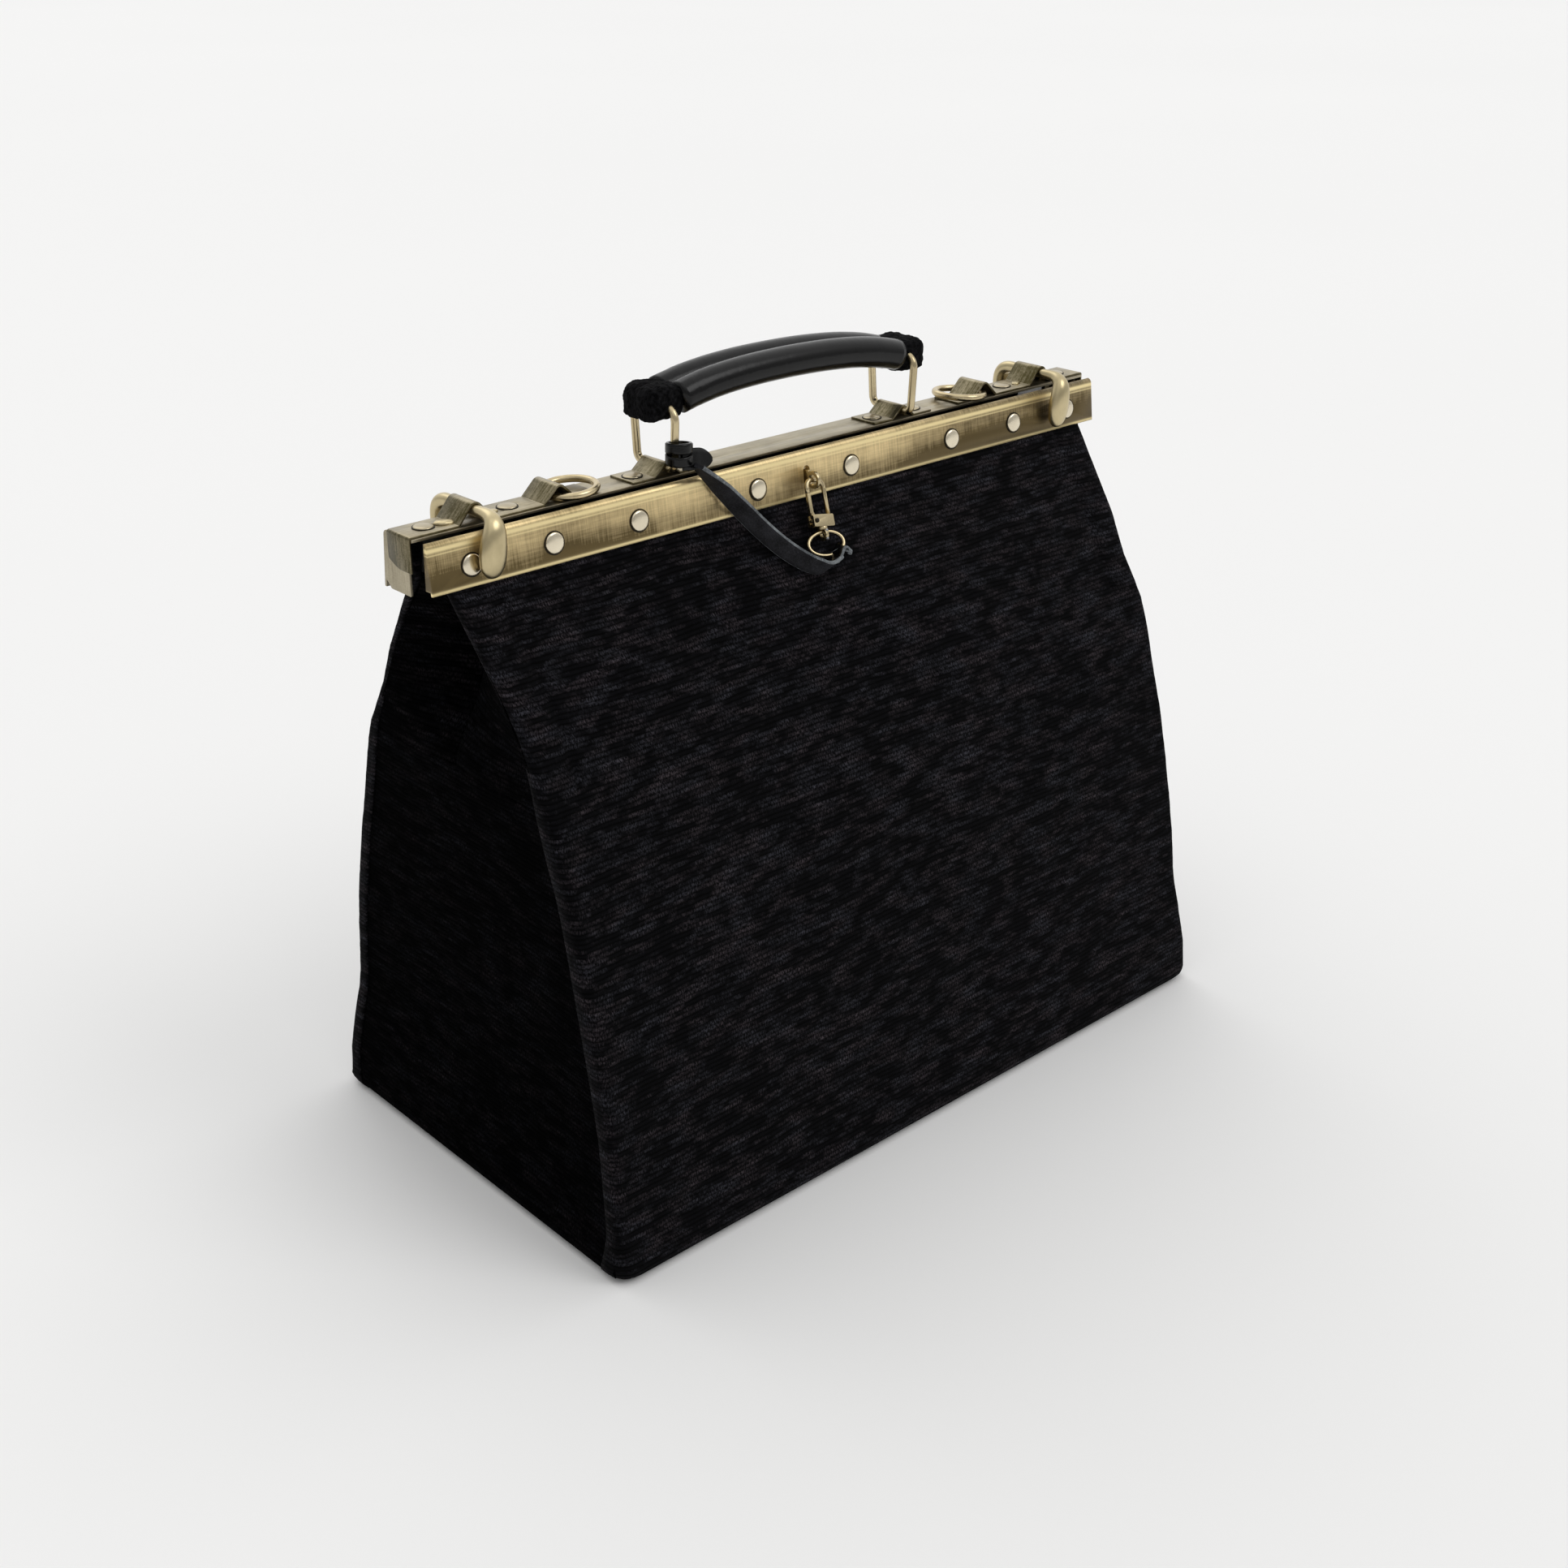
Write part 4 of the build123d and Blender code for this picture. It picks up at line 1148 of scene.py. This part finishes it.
# each bar's outer face: its side, its Y at the foot, how far it leans in over what height, and how
# far up it the rivets are
barFaces = {"front": (-1, -14.6, 2.3, 20.7, 8.8), "rear": (1, 18.0, 2.4, 24.2, 11.8)}
for half, (side, foot, lean, height, up) in barFaces.items():
    y = foot - side * lean / height * up
    spots = [(s * x, y, rivet["row"]) for s in (-1, 1) for x in rivet["frontX"]]
    turn = (side * (math.atan(lean / height) - math.pi / 2), 0, 0)
    addRivets(f"{half}Rivets", f"{half}_rivets", f"{half}_half", spots, rivet["bar"], turn)
# the top rivets take the darker copy of the rivet brass, a painted shade
topSpots = [(s * x, deck["y"], deck["z"]) for s in (-1, 1) for x in rivet["topX"]]
addRivets("topRivets", "top_rivets", "rear_half", topSpots, rivet["top"], (0, 0, 0), "shadedTopCapBrass")
print("frame made")

hooks = {
    "x": 169.3,
    "front": -18.7,
    "rear": 23.3,
    "stations": [  # out of the blade's plane, drop, sideways, half width, half thickness
        (-13.5, 0.0, 0.0, 2.35, 2.35),
        (-9.5, 0.1, 0.0, 2.5, 2.5),
        (-5.6, -0.1, 0.0, 2.9, 2.8),
        (-2.6, -1.2, -0.2, 3.6, 3.2),
        (-0.7, -3.6, -0.8, 4.6, 3.5),
        (0.1, -7.2, -1.8, 5.5, 3.6),
        (0.3, -11.4, -2.7, 6.2, 3.6),
        (0.3, -15.4, -3.3, 6.4, 3.5),
        (0.1, -19.2, -3.5, 5.7, 3.1),
        (0.0, -22.0, -3.4, 4.1, 2.4),
        (0.0, -23.8, -3.3, 2.0, 1.4),
    ],
}
hookZ = pivotOf("left_hook_turn").z


def addHook(name, node, x):
    # up the front blade, along the shaft and down the rear blade
    run = []
    for out, drop, aside, half, thick in reversed(hooks["stations"]):
        run.append((Vector((x + aside, hooks["front"] - out, hookZ + drop)), half, thick))
    for out, drop, aside, half, thick in hooks["stations"]:
        run.append((Vector((x - aside, hooks["rear"] + out, hookZ + drop)), half, thick))
    points = [spot for spot, half, thick in run]
    rows = []
    for n, (spot, half, thick) in enumerate(run):
        ahead = (points[min(n + 1, len(run) - 1)] - points[max(n - 1, 0)]).normalized()
        across = Vector((1, 0, 0))
        across = (across - ahead * across.dot(ahead)).normalized()
        other = ahead.cross(across)
        ring = []
        for k in range(16):
            c, s = math.cos(math.pi * k / 8), math.sin(math.pi * k / 8)
            c, s = math.copysign(abs(c) ** 0.85, c), math.copysign(abs(s) ** 0.9, s)
            ring.append(spot + across * half * c + other * thick * s)
        rows.append(ring)
    hook = addRows(name, rows, "castBrass")
    softened = hook.modifiers.new("softened", "SUBSURF")
    softened.levels = softened.render_levels = 2
    applyModifiers(hook)
    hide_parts(node)
    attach(hook, node)


addHook("leftTurnHook", "left_hook", -hooks["x"])
addHook("rightTurnHook", "right_hook", hooks["x"])

rings = {"x": 129.9, "z": 307.3, "tilt": 4.0, "radius": 11.8, "wire": 1.65}


def addStrapRing(name, node, end):
    tilt = math.radians(rings["tilt"])
    points = []
    for n in range(56):
        turn = 2 * math.pi * n / 56
        aside = rings["radius"] * (math.cos(turn) - 1)
        x, z = rings["x"] + aside * math.cos(tilt), rings["z"] - aside * math.sin(tilt)
        points.append((end * x, deck["y"] + rings["radius"] * math.sin(turn), z))
    ring = addTube(name, points, rings["wire"], "wireBrass", 16, closed=True)
    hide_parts(node)
    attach(ring, node)


addStrapRing("leftStrapRing", "left_strap_ring", -1)
addStrapRing("rightStrapRing", "right_strap_ring", 1)

handle = {
    "x": 71.5,
    "foot": 12.4,
    "head": 14.2,
    "rise": 26.9,
    "wire": 1.8,
    "roll": 7.0,
    "rollOffset": 6.8,
    "half": 65.0,
    "shift": 1.3,
    "lean": 0.015,  # how much lower the grip is held towards the right
    "endZ": 337.0,
    "midZ": 343.4,
}
footZ = pivotOf("handle_swing").z


def rounded(corners, radii, steps=8):
    # corners of a closed wire replaced by arcs
    points = []
    for n, (here, radius) in enumerate(zip(corners, radii)):
        here = Vector(here)
        back = (Vector(corners[n - 1]) - here).normalized()
        ahead = (Vector(corners[(n + 1) % len(corners)]) - here).normalized()
        half = back.angle(ahead) / 2
        centre = here + (back + ahead).normalized() * (radius / math.sin(half))
        reach = radius / math.tan(half)
        start, finish = here + back * reach - centre, here + ahead * reach - centre
        points += [centre + start.slerp(finish, k / steps) * radius for k in range(steps + 1)]
    return points


def addHandleRing(name, node, x):
    y, head, foot, top = deck["y"], handle["head"], handle["foot"], footZ + handle["rise"]
    corners = [(x, y + foot, footZ), (x, y + head, top), (x, y - head, top), (x, y - foot, footZ)]
    ring = addTube(name, rounded(corners, [4, 6, 6, 4]), handle["wire"], "wireBrass", 16, closed=True)
    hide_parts(node)
    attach(ring, node)


addHandleRing("leftHandleRing", "left_handle_ring", -handle["x"])
addHandleRing("rightHandleRing", "right_handle_ring", handle["x"])


def archZ(x):
    share = (x - handle["shift"]) / handle["half"]
    fall = (handle["midZ"] - handle["endZ"]) * (0.62 * share**2 + 0.38 * share**4)
    return handle["midZ"] - handle["lean"] * x - fall


def addGrip():
    rolls = []
    for side in (-1, 1):
        points = []
        for n in range(73):
            x = handle["shift"] - handle["half"] + 2 * handle["half"] * n / 72
            points.append(Vector((x, deck["y"] + side * handle["rollOffset"], archZ(x))))

        def skin(turn, n, side=side, points=points):
            near = ramp(-points[n].x, 30, 62) + 0.6 * ramp(points[n].x, 40, 64)
            crease = waves(points[n].x, 40 * side, turn * 3, 2.6, 4.4) * near * 0.022
            return 1.0 - 0.005 + crease + 0.006 * waves(points[n].x, turn * 6, side * 20, 12, 2.5)

        rolls.append(addTube("roll", points, handle["roll"], "leather", 40, shape=skin))
    sleeve = join("gripSleeve", rolls)
    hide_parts("grip_sleeve", "grip_core")
    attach(sleeve, "grip")


gripEnd = {"x": 73.0, "shift": 0.9, "z": 336.3, "half": (10.3, 11.6, 8.1), "power": 4.2}


def addGripEnd(name, node, end):
    # a tuft of the same cloth gathered round each end of the grip
    shape = bmesh.new()
    bmesh.ops.create_cube(shape, size=2.0)
    bmesh.ops.subdivide_edges(shape, edges=shape.edges[:], cuts=31, use_grid_fill=True)
    half, power, x = Vector(gripEnd["half"]), gripEnd["power"], end * gripEnd["x"]
    middle = Vector((x + gripEnd["shift"], deck["y"], gripEnd["z"] - handle["lean"] * x))
    for vertex in shape.verts:
        p = vertex.co.copy()
        p = p * (1.0 / (abs(p.x) ** power + abs(p.y) ** power + abs(p.z) ** power) ** (1 / power))
        groove = 1 - 0.10 * math.exp(-((p.y / 0.16) ** 2)) * ramp(abs(p.z), 0.4, 0.9)
        sag = -0.8 * ramp(p.x * end, 0.1, 1.0)
        spot = Vector((p.x * half.x, p.y * half.y, p.z * half.z * groove + sag)) + middle
        out = Vector((p.x / half.x, p.y / half.y, p.z / half.z)).normalized()
        tuft = 0.5 * waves(*spot, 2.6, 3.0) + 0.3 * waves(*spot, 1.1, 8.0) + 0.5 * waves(*spot, 7, 1.0)
        vertex.co = (spot + out * (tuft - 0.5)) * mm
    piece = fromShape(name, shape, "nap")
    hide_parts(node)
    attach(piece, "grip")


addGrip()
addGripEnd("leftGripEnd", "left_grip_end", -1)
addGripEnd("rightGripEnd", "right_grip_end", 1)
print("handle made")


def addClasp():
    half, bend = clasp["half"], clasp["bend"]
    corners = [onClasp(-half, -16), onClasp(-half, 0), onClasp(half, 0), onClasp(half, -16)]
    bow = rounded(corners, [1, bend, bend, 1])[9:27]  # the two upper corners, nine points each
    bow = [onClasp(-half, clasp["ends"][0])] + bow + [onClasp(half, clasp["ends"][1])]
    shackle = addTube("claspShackle", bow, clasp["wire"], "wireBrass", 14)
    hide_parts("clasp_shackle")
    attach(shackle, "clasp")
    around = [onSplitRing(360 * n / 64) for n in range(64)]
    ring = addTube("splitRing", around, clasp["ring"]["wire"], "wireBrass", 12, closed=True)
    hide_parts("split_ring")
    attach(ring, "clasp_swivel")
    metal("claspBlock", ["clasp_block"], "wireBrass", "clasp", 0.3, 3)
    metal("claspPin", ["clasp_pin"], "capBrass", "clasp", 0.12, 2)
    metal("claspGate", ["clasp_gate"], "wireBrass", "clasp_gate", 0.25, 3)
    metal("claspSwivel", ["clasp_swivel"], "wireBrass", "clasp_swivel", 0.3, 3)
    metal("claspStaple", ["clasp_staple"], "wireBrass", "front_half", 0.35, 3)
    balls = []
    for place, radius in clasp["balls"]:
        spots = [onClasp(*place) + claspUp * (radius * math.cos(math.pi * n / 10)) for n in range(11)]
        radii = [max(0.02, radius * math.sin(math.pi * n / 10)) for n in range(11)]
        balls.append(addTube("ball", spots, radii, "steel", 16))
    stud = join("claspStud", balls)
    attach(stud, "clasp_swivel")
    screw = addTube("claspScrew", [onClasp(*place) for place in clasp["screw"]], 1.0, "rim", 14)
    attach(screw, "clasp")


addClasp()
print("snap hook made")

studio = {
    "reach": 20000,
    "seen": 0.9,  # the sky behind the floor, as the camera has it
    "floor": (0.85, 0.847, 0.841),
    "sky": {"towards": (0.45, 0.55, 0.70), "from": -0.1, "to": 0.95, "dim": 0.42, "bright": 1.06},
    "lamps": [  # direction it shines from, strength, and its width in degrees
        ((0.45, -0.75, 0.8), 0.62, 32),
        ((-0.35, -0.5, 1.0), 0.28, 60),
        ((0.1, 0.7, 0.8), 0.3, 40),
    ],
}


def addStudio():
    corners = [Vector((x, y, 0)) * studio["reach"] for x, y in ((-1, -1), (1, -1), (1, 1), (-1, 1))]
    floor = addPiece("floor", corners, [[0, 1, 2, 3]], "floor")
    world = bpy.data.worlds.new("world")
    bpy.context.scene.world = world
    world.use_nodes = True
    nodes, links = world.node_tree.nodes, world.node_tree.links
    where, lean = nodes.new("ShaderNodeTexCoord"), nodes.new("ShaderNodeVectorMath")
    lean.operation = "DOT_PRODUCT"
    lean.inputs[1].default_value = studio["sky"]["towards"]
    links.new(where.outputs["Generated"], lean.inputs[0])
    level = nodes.new("ShaderNodeMapRange")
    level.interpolation_type = "SMOOTHSTEP"
    for socket, key in (("From Min", "from"), ("From Max", "to"), ("To Min", "dim"), ("To Max", "bright")):
        level.inputs[socket].default_value = studio["sky"][key]
    links.new(lean.outputs["Value"], level.inputs["Value"])
    seen, pick = nodes.new("ShaderNodeLightPath"), nodes.new("ShaderNodeMix")
    links.new(seen.outputs["Is Camera Ray"], pick.inputs["Factor"])
    links.new(level.outputs["Result"], pick.inputs["A"])
    pick.inputs["B"].default_value = studio["seen"]
    links.new(pick.outputs["Result"], nodes["Background"].inputs["Strength"])
    nodes["Background"].inputs["Color"].default_value = (1.0, 1.0, 1.0, 1.0)
    for n, (place, strength, width) in enumerate(studio["lamps"]):
        light = bpy.data.lights.new(f"lamp{n}", "SUN")
        light.energy, light.angle = strength, math.radians(width)
        lamp = placed(f"lamp{n}", light)
        lamp.location = place
        lamp.rotation_euler = (-Vector(place)).to_track_quat("-Z", "Y").to_euler()


finishes["floor"] = makeFloor("floor", studio["floor"])
addStudio()
bpy.context.scene.view_settings.view_transform = "Standard"
print("studio made")
